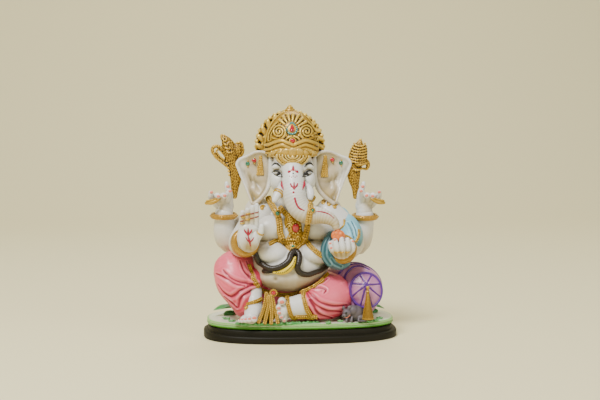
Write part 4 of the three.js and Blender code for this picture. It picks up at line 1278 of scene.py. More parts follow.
# ---------------------------------------------------------------- crown
@dataclass
class Crown:
    """The domed tiara, its halo, finial, brow pieces and stones."""

    middle: float = -7.6
    dome: Piece | None = None

    def build(self, head: Head) -> None:
        """Builds and paints the crown on a head."""
        self.halo()
        form = Clay()
        form.ball((-7.4, -1, 161), (22.6, 21.6, 31.5), sides=48)
        blank = form.join("blank")
        self.cut_below(blank, 154.0)
        surface = Surface(blank)
        clay = Clay()
        clay.parts.append(blank)
        self.brim(clay, surface)
        self.scrollwork(clay, surface)
        self.back_ribs(clay)
        dome = clay.melt("tiara", 0.5, 1)
        places = places_of(dome)
        places[:, 1] = np.minimum(places[:, 1], 14.5)
        reshape(dome, places)
        self.dome = dress(dome, Paints.GOLD, Slot.GOLD, "tiara", "brow_band")
        self.lace(Surface(head.skin, dome))
        self.stones(Surface(dome))
        self.finial()

    @staticmethod
    def cut_below(obj: Piece, height: float) -> None:
        """Cuts away what lies below a height and closes the cut."""
        pick(obj)
        bpy.ops.object.mode_set(mode="EDIT")
        bpy.ops.mesh.select_all(action="SELECT")
        bpy.ops.mesh.bisect(
            plane_co=(0, 0, height * MM), plane_no=(0, 0, 1), use_fill=True, clear_inner=True,
            clear_outer=False
        )
        bpy.ops.object.mode_set(mode="OBJECT")

    def mirrored(self, line: Line) -> list[tuple]:
        """A line of x, z and radius on the other side of the crown."""
        return [(2 * self.middle - x, z, r) for x, z, r in line]

    def brim(self, clay: Clay, surface: Surface) -> None:
        """Two rolled bands that arch over each eye and dip to a point between them."""
        upper = [(-31, 164.5, 1.2), (-27, 164.8, 1.7), (-22, 166.8, 1.9), (-17, 167.8, 1.9), (-12, 166, 1.8),
                 (-7.8, 164.2, 1.8)]
        lower = [
            (-31, 160.5, 1.2), (-26.5, 161, 1.6), (-21.5, 163.3, 1.8), (-16.5, 164.4, 1.8), (-12, 162.8, 1.7),
            (-7.8, 161.2, 1.7)
        ]
        low = [(x, z - 2.6, 1.2) for x, z, _ in lower]
        for line in (upper, lower, low):
            for rows in (line, self.mirrored(line)):
                clay.rod(surface.lay(rows, -22, 0.45))

    def scrollwork(self, clay: Clay, surface: Surface) -> None:
        """Rosettes, arches, rays and beads on the front of the dome."""
        lines = [
            spiral(-19.2, 175.4, 5.8, 2.3, 0.85, 300),
            [(-28, 168.5, 0.9), (-27, 174, 1.0), (-22.6, 181, 1.0), (-16.8, 185.2, 0.9), (-13.4, 186, 0.7)],
            [(-26, 167.8, 0.6), (-25.6, 173, 0.7), (-21.6, 179.4, 0.7), (-16.6, 182.6, 0.6)],
            [(-25, 170.4, 0.7), (-20, 169.0, 0.9), (-15.4, 170.4, 0.9), (-13.4, 173.4, 0.7)],
            [(-13.5, 168.2, 0.7), (-11.6, 170.4, 0.9), (-8.6, 171.6, 0.8)],
            spiral(-14.2, 189.0, 2.2, 1.4, 0.6, 200),
        ]
        for line in lines:
            for rows in (line, self.mirrored(line)):
                clay.rod(surface.lay(rows, -17, 0.35))
        for angle in range(28, 160, 19):
            turn = math.radians(angle)
            rows = []
            for reach, radius in ((7.2, 0.6), (10, 1.15), (13.0, 1.5)):
                rows.append(
                    (
                        self.middle - 0.6 + reach * math.cos(turn), 177.2 + reach * math.sin(turn) * 0.95,
                        radius
                    )
                )
            clay.rod(surface.lay(rows, -14, 0.3))
        for row in range(5):
            for k in range(7):
                x = -29.5 + 1.1 * row + 0.9 * (k % 2)
                z = 163.5 + 2.0 * row + 1.7 * k * 0.5
                spots = ((x + k * 1.15, z), (2 * self.middle - x - k * 1.15, z))
                for spot in spots:
                    clay.ball(surface.touch((spot[0], -16, spot[1])), 0.75, sides=8)
        for turn in np.radians(np.arange(0, 360, 30)):
            for x in (-19.2, 2 * self.middle + 19.2):
                spot = surface.touch((x + 7.3 * math.cos(turn), -17, 175.4 + 7.0 * math.sin(turn)))
                clay.ball(spot, 0.8, sides=8)

    @staticmethod
    def back_ribs(clay: Clay) -> None:
        """Plain upright ribs round the back of the dome."""
        for angle in range(-10, 191, 20):
            turn = math.radians(angle)
            rows = []
            for height in np.linspace(0, 0.98, 8):
                lean = math.sqrt(max(0.0, 1 - (height * 0.98) ** 2))
                x = -7.4 + 22.8 * lean * math.cos(turn)
                y = -1 + 21.8 * lean * math.sin(turn)
                rows.append((x, y, 161 + 31.5 * height * 0.98, 0.9))
            clay.rod(rows)

    def halo(self) -> None:
        """The disc behind the tiara, with a ring of slanting leaves between beaded rims."""
        clay = Clay()
        x, y, z = -7.7, 13.0, 161.5
        clay.ball((x, y + 0.4, z), (29.0, 3.2, 30.6), sides=56)
        count = 24
        for k in range(count):
            turn = 2 * math.pi * k / count
            reach = 26.0
            spot = (x + reach * math.cos(turn), y - 2.0, z + reach * 1.045 * math.sin(turn))
            clay.ball(spot, (4.7, 1.9, 2.3), (0, -math.degrees(turn) + 34, 0), sides=14)
            back = (spot[0], y + 2.9, spot[2])
            clay.ball(back, (4.7, 1.1, 2.3), (0, -math.degrees(turn) - 34, 0), sides=14)
        for k in range(40):
            turn = 2 * math.pi * k / 40
            spot = (x + 28.9 * math.cos(turn), y - 0.1, z + 30.3 * math.sin(turn))
            clay.ball(spot, (2.1, 2.5, 2.1), sides=12)
        clay.hoop((x, y - 2.2, z), (0, 1, 0), (22.6, 23.8), 1.2)
        clay.hoop((x, y + 3.0, z), (0, 1, 0), (21.6, 22.8), 1.2)
        for k in range(14):
            turn = 2 * math.pi * (k + 0.5) / 14
            spot = (x + 11 * math.cos(turn), y + 3.2, z + 11.6 * math.sin(turn))
            clay.ball(spot, (8.5, 1.2, 2.2), (0, -math.degrees(turn), 0), sides=14)
        clay.ball((x, y + 3.4, z), (5, 1.8, 5.2))
        dress(clay.melt("halo", 0.6, 1), Paints.GOLD, Slot.GOLD, "halo")

    def lace(self, surface: Surface) -> None:
        """The scalloped lace under the brim and the half-round medallion on the brow."""
        clay = Clay()
        edge = [(-27, 156.4, 1.6), (-22, 158.6, 2.0), (-16, 159.6, 2.0), (-8, 158.8, 2.0)]
        for rows in (edge, self.mirrored(edge)):
            clay.rod(surface.lay(rows, -20, 0.0), flat=0.9)
        for k, x in enumerate((-25.8, -22.2, -18.4)):
            for spot in (x, 2 * self.middle - x):
                z = 155.6 + 0.9 * k
                arc = [
                    (spot + 2.1 * math.cos(t), z + 2.4 * math.sin(t), 0.55)
                    for t in np.radians(range(180, 361, 30))
                ]
                clay.rod(surface.lay(arc, -20, 0.6))
                clay.ball(surface.touch((spot, -21, z + 0.6)), 0.95, sides=10)
                clay.ball(surface.touch((spot, -21, z + 3.2)), 0.8, sides=10)
        for step in (-9.6, -5, 0, 5, 9.6):
            spot = surface.touch((-8.2 + step, -23, 154.4), -0.4)
            clay.ball(
                spot, (5.4, 2.4, 8.2 * math.sqrt(1 - (step / 14.5) ** 2)), (14, 0, step * 2.6), sides=24
            )
        plate = clay.join("plate")
        front = Surface(plate)
        clay = Clay()
        clay.parts.append(plate)
        for reach, wire in ((13.2, 1.0), (11.2, 0.5), (8.6, 0.8), (6.2, 0.5), (3.8, 0.65)):
            arc = [
                (-8.2 + reach * math.cos(t), 155.6 + reach * 0.62 * math.sin(t), wire)
                for t in np.radians(range(176, 365, 12))
            ]
            clay.rod(front.lay(arc, -25, 0.3))
        for angle in range(188, 353, 11):
            turn = math.radians(angle)
            spot = (-8.2 + 9.9 * math.cos(turn), -25, 155.6 + 6.2 * math.sin(turn))
            clay.ball(front.touch(spot), (0.95, 0.8, 0.95), sides=8)
        clay.ball(front.touch((-8.2, -25, 154.4)), (1.7, 1.0, 1.3), sides=12)
        dress(clay.melt("brow_lace", 0.4, 1), Paints.LACE_GOLD, Slot.GOLD, "brow_lace")

    def stones(self, surface: Surface) -> None:
        """The drop stone in its beaded teal rim, and the round stone below it."""
        x, z = -8.3, 177.2
        rim = []
        for angle in np.radians(range(0, 360, 20)):
            narrow = 1 - 0.42 * max(0.0, math.sin(angle)) ** 1.5
            rim.append(
                (
                    x + 4.0 * narrow * math.cos(angle),
                    z + (5.2 if math.sin(angle) > 0 else 4.0) * math.sin(angle)
                )
            )
        teal, gold, ruby = Clay(), Clay(), Clay()
        for a, b in rim:
            teal.ball(surface.touch((a, -18, b), 0.8), 0.95, sides=10)
        bed = surface.touch((x, -18, z + 0.3), 0.2)
        gold.ball(bed, (4.2, 1.2, 5.0), (-22, 0, 0))
        low, high = surface.touch((x, -18, z - 1.1), 1.1), surface.touch((x, -18, z + 3.4), 0.9)
        ruby.rod([(*low, 2.3), (*((low + high) / 2), 1.7), (*high, 0.7)], flat=0.7, sides=20, steps=14)
        bead = surface.touch((-8.3, -24, 167.9), 0.6)
        gold.hoop(bead, (0, -1, 0.35), 2.5, 0.5)
        ruby.ball(bead + (0, -0.4, 0.1), (2.2, 1.6, 1.9))
        dress(teal.join("drop_rim"), TURQUOISE, Slot.GEM)
        dress(gold.join("stone_settings"), Paints.OLD_GOLD, Slot.GOLD)
        dress(ruby.join("crown_stones"), RUBY, Slot.GEM, "crown_jewel", "crown_bead")

    def finial(self) -> None:
        """The curved cap and knob on top."""
        clay = Clay()
        x = -8.0
        clay.ball((x, 7.5, 191.2), (6.6, 5.5, 2.0), sides=28)
        clay.ball((x, 7.5, 193.0), (4.4, 3.8, 2.2))
        clay.ball((x, 7.5, 195.2), (2.6, 2.4, 1.6))
        clay.ball((x, 7.5, 196.7), (1.2, 1.2, 1.1))
        dress(clay.melt("crown_finial", 0.4, 1), Paints.GOLD, Slot.GOLD, "crown_finial")


# ---------------------------------------------------------------- hands
@dataclass
class Hands:
    """The blessing hand, the offering hand with its sweet, and the two rear hands."""

    rear_mirror: float = -8.6

    def build(self) -> None:
        """Builds and paints the hands."""
        self.blessing()
        self.offering()
        self.rear(-1, "rear_hand_right")
        self.rear(1, "rear_hand_left")

    @staticmethod
    def paint_shade_spots(obj: Piece, zones: Sequence[tuple[Place, float]]) -> None:
        """Marks painted shade, as balls of a given radius."""
        places = places_of(obj)
        total = np.zeros(len(places))
        for centre, radius in zones:
            total += np.exp(-((np.linalg.norm(places - np.asarray(centre), axis=1) / radius) ** 2))
        set_mark(obj, Mark.SHADE, total)

    def blessing(self) -> None:
        """The open hand, palm forward, with gold rings, creases and a painted bud."""
        clay = Clay()
        clay.ball((-46.4, -35.5, 88.5), (9.4, 5.2, 12.5), (0, 4, 0), sides=32)
        clay.ball((-50.2, -37.0, 88.0), (4.8, 4.6, 10.5), (0, -3, 0))
        clay.ball((-41.2, -37.0, 86.5), (4.6, 4.6, 9.5), (0, 10, 0))
        clay.ball((-46.2, -36.8, 96.0), (8.8, 4.2, 4.6))
        clay.ball((-46.6, -31.5, 82.5), (8.0, 6.0, 8.5))
        roots = [(-52.0, 97), (-48.0, 98.5), (-43.8, 99), (-39.8, 98.5)]
        tips = [(-51.2, 109.6), (-47.0, 111.6), (-43.0, 113.8), (-39.4, 115.4)]
        for (x, z), (a, b) in zip(roots, tips):
            middle = ((x + a) / 2, -37.6, (z + b) / 2)
            clay.rod([(x, -36.8, z, 2.5), (*middle, 2.45), (a, -37.4, b, 1.9)], sides=16)
        clay.rod([(-38.6, -37.5, 88.5, 3.3), (-36.0, -39.6, 93.5, 2.7), (-35.4, -40.4, 98.2, 2.1)], sides=16)
        hand = clay.melt("blessing_hand", 0.5, 3)
        # Painted shade on the lower palm and the fingertips.
        self.paint_shade_spots(
            hand, [((-47, -42, 80), 6.5), ((-41, -42, 78), 5), ((-45, -42, 106), 6), ((-50, -42, 104), 5)]
        )
        dress(hand, Paints.MARBLE, Slot.MARBLE, "blessing_hand")
        skin = Surface(hand)
        umber, crimson, gold = Clay(), Clay(), Clay()
        for z, lean in ((102.6, 0.28), (107.0, 0.22)):
            for (x, _), (a, _) in zip(roots, tips):
                middle = x + (a - x) * (z - 98) / 14
                rise = z + lean * (x + 52)
                row = [(middle - 1.4, rise - 0.3, 0.4), (middle, rise, 0.6), (middle + 1.4, rise + 0.4, 0.4)]
                umber.rod(skin.lay(row, -42, 0.1, 0.7), sides=8)
        for x, z in ((-50.6, 105.6), (-46.9, 103.9), (-51.6, 100.6), (-46.8, 108.6)):
            gold.rod(
                skin.lay([(x - 1.4, z, 0.6), (x, z + 0.1, 0.8), (x + 1.4, z + 0.4, 0.6)], -42, 0.15, 0.7)
            )
        gold.hoop((-36.6, -39.0, 92.4), (0.45, -0.35, 0.85), 2.9, 0.75)
        Head.bud(crimson, skin, -46.8, 94.2, 3.4, -43)
        crimson.rod(skin.lay([(-46.8, 91, 0.4), (-45.8, 86.5, 0.75), (-44.8, 82, 0.5)], -43, 0.1), sides=8)
        for side in (-1, 1):
            leaf = [(-45.4, 85.2, 0.3), (-45.4 + 1.8 * side, 86.6, 0.6), (-45.4 + 3.4 * side, 89.2, 0.3)]
            crimson.rod(skin.lay(leaf, -43, 0.1), sides=8)
        dress(umber.join("palm_creases"), Paints.UMBER, Slot.SERPENT, relief=False)
        dress(crimson.join("palm_bud"), Paints.CRIMSON, Slot.GEM, relief=False)
        dress(gold.join("palm_rings"), Paints.CHAIN_GOLD, Slot.GOLD)

    def offering(self) -> None:
        """The cupped hand that holds the sweet."""
        clay = Clay()
        clay.ball((31, -34.5, 79.5), (10.6, 6.2, 8.2), sides=32)
        clay.ball((31.5, -37.0, 75.0), (8.0, 5.4, 5.2))
        fingers = [
            [(27.4, -40.4, 73.0, 2.4), (23.6, -42.6, 78, 2.5), (21.6, -41.6, 83.6, 1.9)],
            [(29.6, -41.4, 72.2, 2.4), (27.0, -44.4, 79, 2.6), (25.6, -43.0, 86.0, 2.0)],
            [(32.4, -41.6, 72.2, 2.4), (31.6, -44.8, 79.5, 2.6), (30.8, -43.2, 87.4, 2.0)],
            [(35.0, -41.0, 73.0, 2.4), (36.2, -43.8, 79, 2.5), (36.0, -42.2, 86.4, 2.0)],
            [(37.5, -38.2, 75.0, 2.8), (40.6, -39.4, 79, 2.6), (39.8, -39.6, 84.6, 2.0)],
        ]
        for line in fingers:
            clay.rod(line, sides=16)
        hand = clay.melt("offering_hand", 0.5, 3)
        # Painted shade low in the cupped hand.
        self.paint_shade_spots(hand, [((31, -46, 73), 5.5), ((25, -44, 75), 3.5), ((37, -44, 75), 3.5)])
        dress(hand, Paints.MARBLE, Slot.MARBLE, "offering_hand")
        skin = Surface(hand)
        nails, gold = Clay(), Clay()
        for x, z in ((21.4, 83.6), (25.4, 86.6), (40.2, 85.2), (22.2, 79.8)):
            nails.ball(skin.touch((x, -44, z), -0.2), (1.25, 0.7, 1.0), sides=12)
        for x in (26.4, 30.6, 35.4):
            gold.rod(skin.lay([(x - 1.6, 76.6, 0.5), (x, 76.0, 0.8), (x + 1.6, 76.6, 0.5)], -46, 0.1, 0.7))
        dress(nails.join("offering_nails"), Paints.CORAL, Slot.SWEET, relief=False)
        dress(gold.join("offering_rings"), Paints.CHAIN_GOLD, Slot.GOLD)
        clay = Clay()
        clay.ball((28.4, -39.6, 89.6), (5.9, 5.2, 5.0), sides=24)
        for x, y, z in (
            (24.4, -41, 91), (26.5, -43.3, 92), (30, -43.5, 91.5), (32.6, -41, 90), (28, -41.5, 94),
            (25, -42, 88.4)
        ):
            clay.ball((x, y, z), 1.7, sides=12)
        dress(clay.melt("laddu", 0.5, 1), Paints.SWEET, Slot.SWEET, "laddu")

    def rear(self, side: int, name: str) -> None:
        """One raised rear hand, with its first finger up and the others curled.

        Args:
            side: -1 for the figure's right hand and 1 for its left.
            name: the piece's name.
        """

        def at(line: Line) -> list[tuple]:
            if side < 0:
                return [tuple(row) for row in line]
            return [(self.rear_mirror - row[0], row[1], row[2] - 0.8, *row[3:]) for row in line]

        clay = Clay()
        for x, y, z, *size in at([(-64.2, 2.0, 111.5, 7.6, 5.8, 7.6), (-66.0, 1.0, 115.5, 8.0, 5.0, 5.0)]):
            clay.ball((x, y, z), size, sides=28)
        clay.rod(at([(-65, 2, 101, 7.2), (-64.5, 2, 108, 7.0)]), sides=24)
        fingers = [
            [
                (-60.2, 0.0, 114, 3.0), (-60.4, -2.2, 122, 2.8), (-62.4, -3.2, 128.2, 2.3),
                (-63.0, -3.6, 131.2, 1.8)
            ],
            [(-62.6, -1.0, 116, 3.0), (-62.0, -6.0, 122, 2.8), (-60.6, -8.2, 124.4, 2.3)],
            [(-66.4, -1.0, 116, 3.0), (-66.4, -6.4, 121, 2.8), (-65.0, -9.2, 120.6, 2.3)],
            [(-69.8, 0.0, 115, 2.9), (-71.0, -5.6, 121, 2.7), (-70.4, -8.6, 120.2, 2.2)],
            [(-71.2, 1.0, 112, 2.8), (-76.0, -3.6, 119, 2.5), (-76.4, -6.2, 123.4, 2.0)]
        ]
        for line in fingers:
            clay.rod(at(line), sides=16)
        hand = clay.melt(name, 0.5, 3)
        # Painted shade in the curl of the fingers.
        self.paint_shade_spots(hand, [(at([(-68, -8, 112)])[0], 6)])
        dress(hand, Paints.MARBLE, Slot.MARBLE, name)
        skin = Surface(hand)
        nails = Clay()
        for x, y, z in at(
            [
                (-62.0, -6, 128.6), (-60.2, -9, 125.0), (-64.8, -10, 121.2), (-70.2, -9, 120.6),
                (-76.0, -8, 124.0)
            ]
        ):
            nails.ball(skin.touch((x, y, z), -0.1), (1.55, 0.8, 1.25), sides=12)
        dress(nails.join(name + "_nails"), Paints.CORAL, Slot.SWEET, relief=False)
        ring = Clay()
        bar = at(
            [
                (-80.5, -5.5, 114.4, 1.3), (-76.0, -8.0, 115.2, 1.9), (-71.5, -9.0, 117.0, 1.5),
                (-69, -8.6, 118.4, 0.9)
            ]
        )
        ring.rod(bar, sides=12)
        ring.beads(at([(-80.0, -6.5, 116.4, 0.9), (-76.0, -9.2, 117.4, 1.0), (-72, -10.2, 118.6, 0.8)]), 1.5)
        dress(ring.join(name + "_ring"), Paints.CHAIN_GOLD, Slot.GOLD)


# ---------------------------------------------------------------- legs and drapes
@dataclass
class Legs:
    """The draped legs, the bare shin and feet, and the drape under the seat."""

    def build(self) -> None:
        """Builds and paints the legs."""
        self.seat()
        self.raised()
        self.folded()
        self.raised_foot()
        self.folded_foot()

    def seat(self) -> None:
        """The gathered drape below and behind the torso."""
        clay = Clay()
        clay.ball((-8, 8, 34), (42, 23.5, 18.5), sides=48)
        clay.ball((-32, 4, 40), (20, 18, 20), sides=32)
        clay.ball((14, 10, 40), (18, 16, 17), sides=32)
        drape = clay.melt("seat_drape", 0.9, 6)
        folds = []
        for k in range(11):
            turn = math.radians(10 + 16 * k)
            rows = []
            for height, width in ((49, 1.0), (38, 1.8), (26, 2.2), (17, 1.2)):
                swell = 1.0 if height < 45 else 0.8
                rows.append(
                    (-9 + 43 * swell * math.cos(turn), 7 + 25 * swell * math.sin(turn), height, width)
                )
            folds.append(smooth_line(rows, 14))
        carve_folds(drape, folds, 0.9, 0.6)
        settle(drape)
        self.shade(drape, 5.0)
        dress(drape, Paints.PINK, Slot.PINK, "seat_drape")

    @staticmethod
    def shade(obj: Piece, low: float) -> None:
        """Marks painted shade, a deeper coral, low on a drape."""
        places = places_of(obj)
        bottom = ramp(places[:, 2], 30 + low, 17)
        set_mark(obj, Mark.SHADE, 0.7 * bottom)

    def raised(self) -> None:
        """The raised right knee in its drape, with folds that gather at the waist."""
        clay = Clay()
        clay.rod([(-38, 0, 45, 17.5), (-49.5, -5, 52.4, 18.4), (-58, -11, 57.2, 17.0)], sides=36, steps=20)
        clay.rod(
            [(-58, -11, 57.0, 17.0), (-56.5, -17, 47, 16.0), (-52, -22, 36, 12.4), (-49.5, -24, 29, 10.0)],
            sides=36, steps=24
        )
        clay.rod(
            [(-55, -14, 50, 15), (-48, -19, 45.5, 11.5), (-43.5, -20, 48.0, 9.5), (-38, -16, 54, 8)], sides=28
        )
        leg = clay.melt("raised_leg", 0.6, 8)
        skin = Surface(leg)
        lines = [
            ([(-38, 48, 1.0), (-46, 48.4, 1.3), (-55, 50.5, 1.4), (-62, 54.5, 1.2), (-67, 60, 0.7)], -28),
            (
                [
                    (-71.5, 48, 0.7), (-67, 41.5, 1.2), (-60.5, 37.6, 1.4), (-53, 42.0, 1.4),
                    (-46, 46.0, 1.2), (-38, 47.5, 0.8)
                ],
                -28
            ),
            ([(-38, 45.4, 0.8), (-45, 42.8, 1.2), (-52, 37.8, 1.4), (-54.8, 29.5, 0.9)], -34),
            ([(-53, 68, 0.6), (-49.5, 59.5, 1.1), (-44, 53.5, 1.2), (-39, 49.5, 0.9)], -28),
            ([(-47.5, 67.5, 0.5), (-45, 60.5, 0.9), (-41.5, 54.5, 0.9)], -28),
            ([(-73, 57, 0.6), (-66, 53.7, 1.1), (-57, 48.2, 1.2), (-49, 46.2, 0.9)], -26),
            ([(-66, 38, 0.6), (-60.5, 33, 1.0), (-56, 28.5, 0.8)], -28)
        ]
        folds = [skin.lay(line, y, 0) for line, y in lines]
        back = [
            [(-70, 2, 62, 0.8), (-60, 14, 52, 1.5), (-46, 19, 44, 1.0)],
            [(-73, 0, 50, 0.8), (-62, 10, 42, 1.5), (-48, 15, 36, 1.0)],
            [(-66, -2, 36, 0.7), (-58, 5, 33, 1.2), (-46, 9, 30, 0.8)],
        ]
        carve_folds(leg, folds + [smooth_line(row, 14) for row in back], 1.05, 0.62)
        settle(leg)
        places = places_of(leg)
        # Painted shade where the leg meets the belly, and low down.
        inner = ramp(places[:, 0], -49, -38) * 0.75
        low = ramp(places[:, 2], 52, 26) * 0.85
        set_mark(leg, Mark.SHADE, np.maximum(inner, low))
        dress(leg, Paints.PINK, Slot.PINK, "raised_leg")

    def folded(self) -> None:
        """The folded left knee in its drape, with folds that gather at the gold hem."""
        clay = Clay()
        clay.rod([(8, 2, 38, 17), (19, -9, 38.5, 17.5), (27.5, -17, 36.0, 17.6)], sides=36, steps=20)
        clay.rod(
            [(27.5, -17, 35.0, 17.6), (20, -24, 33.4, 17.2), (12, -29, 31.5, 15.0), (6.5, -31, 30.5, 13.0)],
            sides=36, steps=20
        )
        leg = clay.melt("folded_leg", 0.6, 8)
        skin = Surface(leg)
        lines = [
            ([(1.5, 43, 1.0), (5.5, 37, 1.3), (10.5, 31.5, 1.5), (19.5, 26.8, 1.4), (31, 26.0, 0.8)], -42),
            ([(3, 43.5, 0.9), (7.5, 39, 1.2), (14, 33.4, 1.4), (24, 30.4, 1.3), (36, 31, 0.7)], -40),
            ([(3.5, 45.2, 0.8), (9, 45.8, 1.2), (14, 45.9, 1.2), (18.5, 44, 0.9), (17, 41, 0.5)], -38),
            ([(4.5, 36, 0.9), (8, 30.5, 1.2), (12.5, 24, 1.3), (23, 20.6, 0.9)], -42),
            ([(10, 45.8, 0.7), (15, 48.5, 1.0), (20.5, 52.5, 0.7)], -32),
            ([(3.5, 30, 0.8), (6.5, 24.5, 1.1), (12, 19.5, 0.8)], -42),
        ]
        folds = [skin.lay(line, y, 0) for line, y in lines]
        carve_folds(leg, folds, 1.05, 0.62)
        settle(leg)
        places = places_of(leg)
        # Painted shade next to the body, low down and at the outer edge.
        side = ramp(places[:, 0], 15, 4) * 0.6
        low = ramp(places[:, 2], 33, 18) * 0.75
        edge = ramp(places[:, 0], 36, 44) * 0.5
        set_mark(leg, Mark.SHADE, np.maximum(np.maximum(side, low), edge))
        dress(leg, Paints.PINK, Slot.PINK, "folded_leg")
        clay = Clay()
        clay.rod(
            [(10, -29, 30, 11.5), (0, -32.5, 29.5, 10.6), (-9, -34.5, 28.8, 9.2), (-15, -35.5, 28.6, 8.2)],
            sides=28
        )
        shin = clay.melt("folded_shin", 0.7, 5)
        settle(shin)
        places = places_of(shin)
        # Painted shade low down, near the slab.
        set_mark(shin, Mark.SHADE, 0.6 * ramp(places[:, 2], 26, 18))
        dress(shin, Paints.MARBLE, Slot.MARBLE, "folded_shin")

    def raised_foot(self) -> None:
        """The right ankle and foot, toes forward."""
        clay = Clay()
        clay.rod([(-40, -22, 41, 6.0), (-41.2, -27.5, 34.5, 6.6), (-40.8, -30, 27, 7.4)], sides=28)
        clay.rod([(-41, -29, 26, 8.2), (-42.5, -35, 24.2, 7.6), (-44.6, -40, 21.6, 6.0)], sides=28)
        clay.ball((-46.5, -40, 20.2), (7.0, 5.0, 4.0), (0, 6, 14))
        toes = [
            (-42.2, -46.0, 22.0, 3.1), (-46.2, -46.2, 21.2, 2.4), (-49.2, -45.2, 20.7, 2.2),
            (-51.8, -43.6, 20.2, 2.0), (-53.8, -41.2, 19.8, 1.8)
        ]
        for x, y, z, r in toes:
            clay.rod([(x * 0.55 - 20.5, -38.5, z, r), (x, y, z - 0.6, r)], sides=14)
        foot = clay.melt("raised_foot", 0.5, 3)
        settle(foot)
        places = places_of(foot)
        # Painted shade near the slab and at the ankle under the drape.
        set_mark(foot, Mark.SHADE, 0.5 * ramp(places[:, 2], 21, 16.5) + 0.3 * ramp(places[:, 2], 36, 44))
        dress(foot, Paints.MARBLE, Slot.MARBLE, "raised_foot")
        skin, nails = Surface(foot), Clay()
        for x, y, z, r in toes:
            nails.ball(skin.touch((x, y - r, z + 0.9), -0.2), (r * 0.62, 0.8, r * 0.45), sides=12)
        dress(nails.join("raised_nails"), Paints.CORAL, Slot.SWEET, relief=False)

    def folded_foot(self) -> None:
        """The left foot, standing on its edge with its toes one above another."""
        clay = Clay()
        clay.rod([(-14, -34.5, 29, 8.2), (-17.5, -38, 28, 7.2), (-19.0, -40.5, 26.5, 6.0)], sides=28)
        clay.ball((-18.0, -38.0, 32.0), (4.4, 5.6, 6.2), (0, -10, 0))
        clay.ball((-17.6, -39.0, 22.4), (4.6, 5.6, 5.8))
        toes = [
            (-19.2, -44.6, 35.4, 3.2), (-21.8, -45.2, 30.4, 2.5), (-21.2, -45.6, 26.2, 2.3),
            (-19.6, -45.6, 22.6, 2.1), (-17.2, -45.0, 19.6, 1.9)
        ]
        for x, y, z, r in toes:
            clay.rod([(x + 1.6, -40, z - 0.4, r), (x, y + 1, z, r)], sides=14)
        foot = clay.melt("folded_foot", 0.5, 3)
        settle(foot)
        places = places_of(foot)
        # Painted shade low on the foot and towards the leg.
        set_mark(foot, Mark.SHADE, 0.5 * ramp(places[:, 0], -20, -12) * ramp(places[:, 2], 30, 18))
        dress(foot, Paints.MARBLE, Slot.MARBLE, "folded_foot")
        skin, nails = Surface(foot), Clay()
        for x, y, z, r in toes:
            nails.ball(skin.touch((x, y - r, z + 0.2), -0.2), (r * 0.62, 0.8, r * 0.5), sides=12)
        dress(nails.join("folded_nails"), Paints.CORAL, Slot.SWEET, relief=False)


# ---------------------------------------------------------------- cloth on the arms
@dataclass
class Shawls:
    """The blue shawl over the left arm and across the back."""

    def build(self) -> None:
        """Builds and paints the shawl."""
        clay = Clay()
        outer = [
            (34, -3, 101.5, 5.0), (38.5, -8, 97, 8.6), (41.2, -14, 90, 10.6), (41.0, -20, 83, 10.4),
            (38.0, -25, 76, 8.8)
        ]
        clay.rod(outer, sides=28, steps=26)
        inner = [
            (24.0, -27, 89, 3.5), (20.6, -30, 82, 4.6), (19.8, -31, 74, 5.6), (23.6, -31, 67, 5.4),
            (31, -31, 63.5, 4.2), (37, -30, 65, 3.2)
        ]
        clay.rod(inner, sides=24, steps=30)
        shawl = clay.melt("shawl_left", 0.6, 4)
        skin = Surface(shawl)
        folds = [
            skin.lay([(20.6, 87, 0.6), (17.8, 80, 0.9), (17.6, 72, 1.0), (21.5, 65.5, 0.9)], -38, 0),
            skin.lay([(23, 70, 0.6), (26, 66, 0.9), (31, 63.4, 0.8)], -38, 0),
            skin.lay([(38, 99, 0.7), (41.5, 93, 1.0), (43.5, 86, 0.9)], -26, 0),
            skin.lay([(42, 99.5, 0.6), (45.2, 93, 0.9), (46, 87.5, 0.7)], -22, 0),
            smooth_line([(46, 0, 104, 0.7), (52, -8, 93, 1.1), (51, -18, 84, 0.9)], 12),
        ]
        carve_folds(shawl, folds, 0.7, 0.35)
        places = places_of(shawl)
        # Painted shade low on the shawl and on its inner part.
        set_mark(shawl, Mark.SHADE, np.maximum(ramp(places[:, 2], 90, 76), ramp(places[:, 0], 33, 27)) * 0.95)
        dress(shawl, Paints.TEAL, Slot.BLUE, "shawl_left")
        clay = Clay()
        clay.rod(
            [
                (-38, 6, 94, 7), (-30, 17, 84, 8), (-5, 24, 83, 8.5), (22, 20, 89, 8), (35, 8, 101, 8),
                (39, -2, 104, 7)
            ],
            flat=0.45, deep=(0, 1, 0), sides=24
        )
        back = clay.melt("shawl_back", 0.8, 4)
        rows = [
            [
                (-38, 12, 94 + d, 0.8), (-30, 21, 84 + d, 1.0), (-5, 28, 83 + d, 1.0), (22, 24, 89 + d, 1.0),
                (35, 12, 101 + d, 0.8)
            ]
            for d in (-4, -1, 2.5)
        ]
        carve_folds(back, [smooth_line(row, 24) for row in rows], 0.8, 0.8)
        dress(back, Paints.TEAL, Slot.BLUE, "shawl_back")
        edge, whole = Clay(), Surface(shawl)
        for line, y in (
            ([(34.5, 103.5, 0.7), (35.6, 98, 0.9), (33.4, 94.4, 0.8), (30.5, 92.8, 0.6)], -24),
            ([(47.6, 92.5, 0.6), (47.4, 87, 0.8), (45.2, 82.6, 0.6)], -22),
        ):
            rows = whole.lay(line, y, 0.3)
            edge.rod(rows)
            edge.beads(beside(rows, 1.3, 0.6), 1.5)
        dress(edge.join("shawl_edge"), Paints.CHAIN_GOLD, Slot.GOLD)


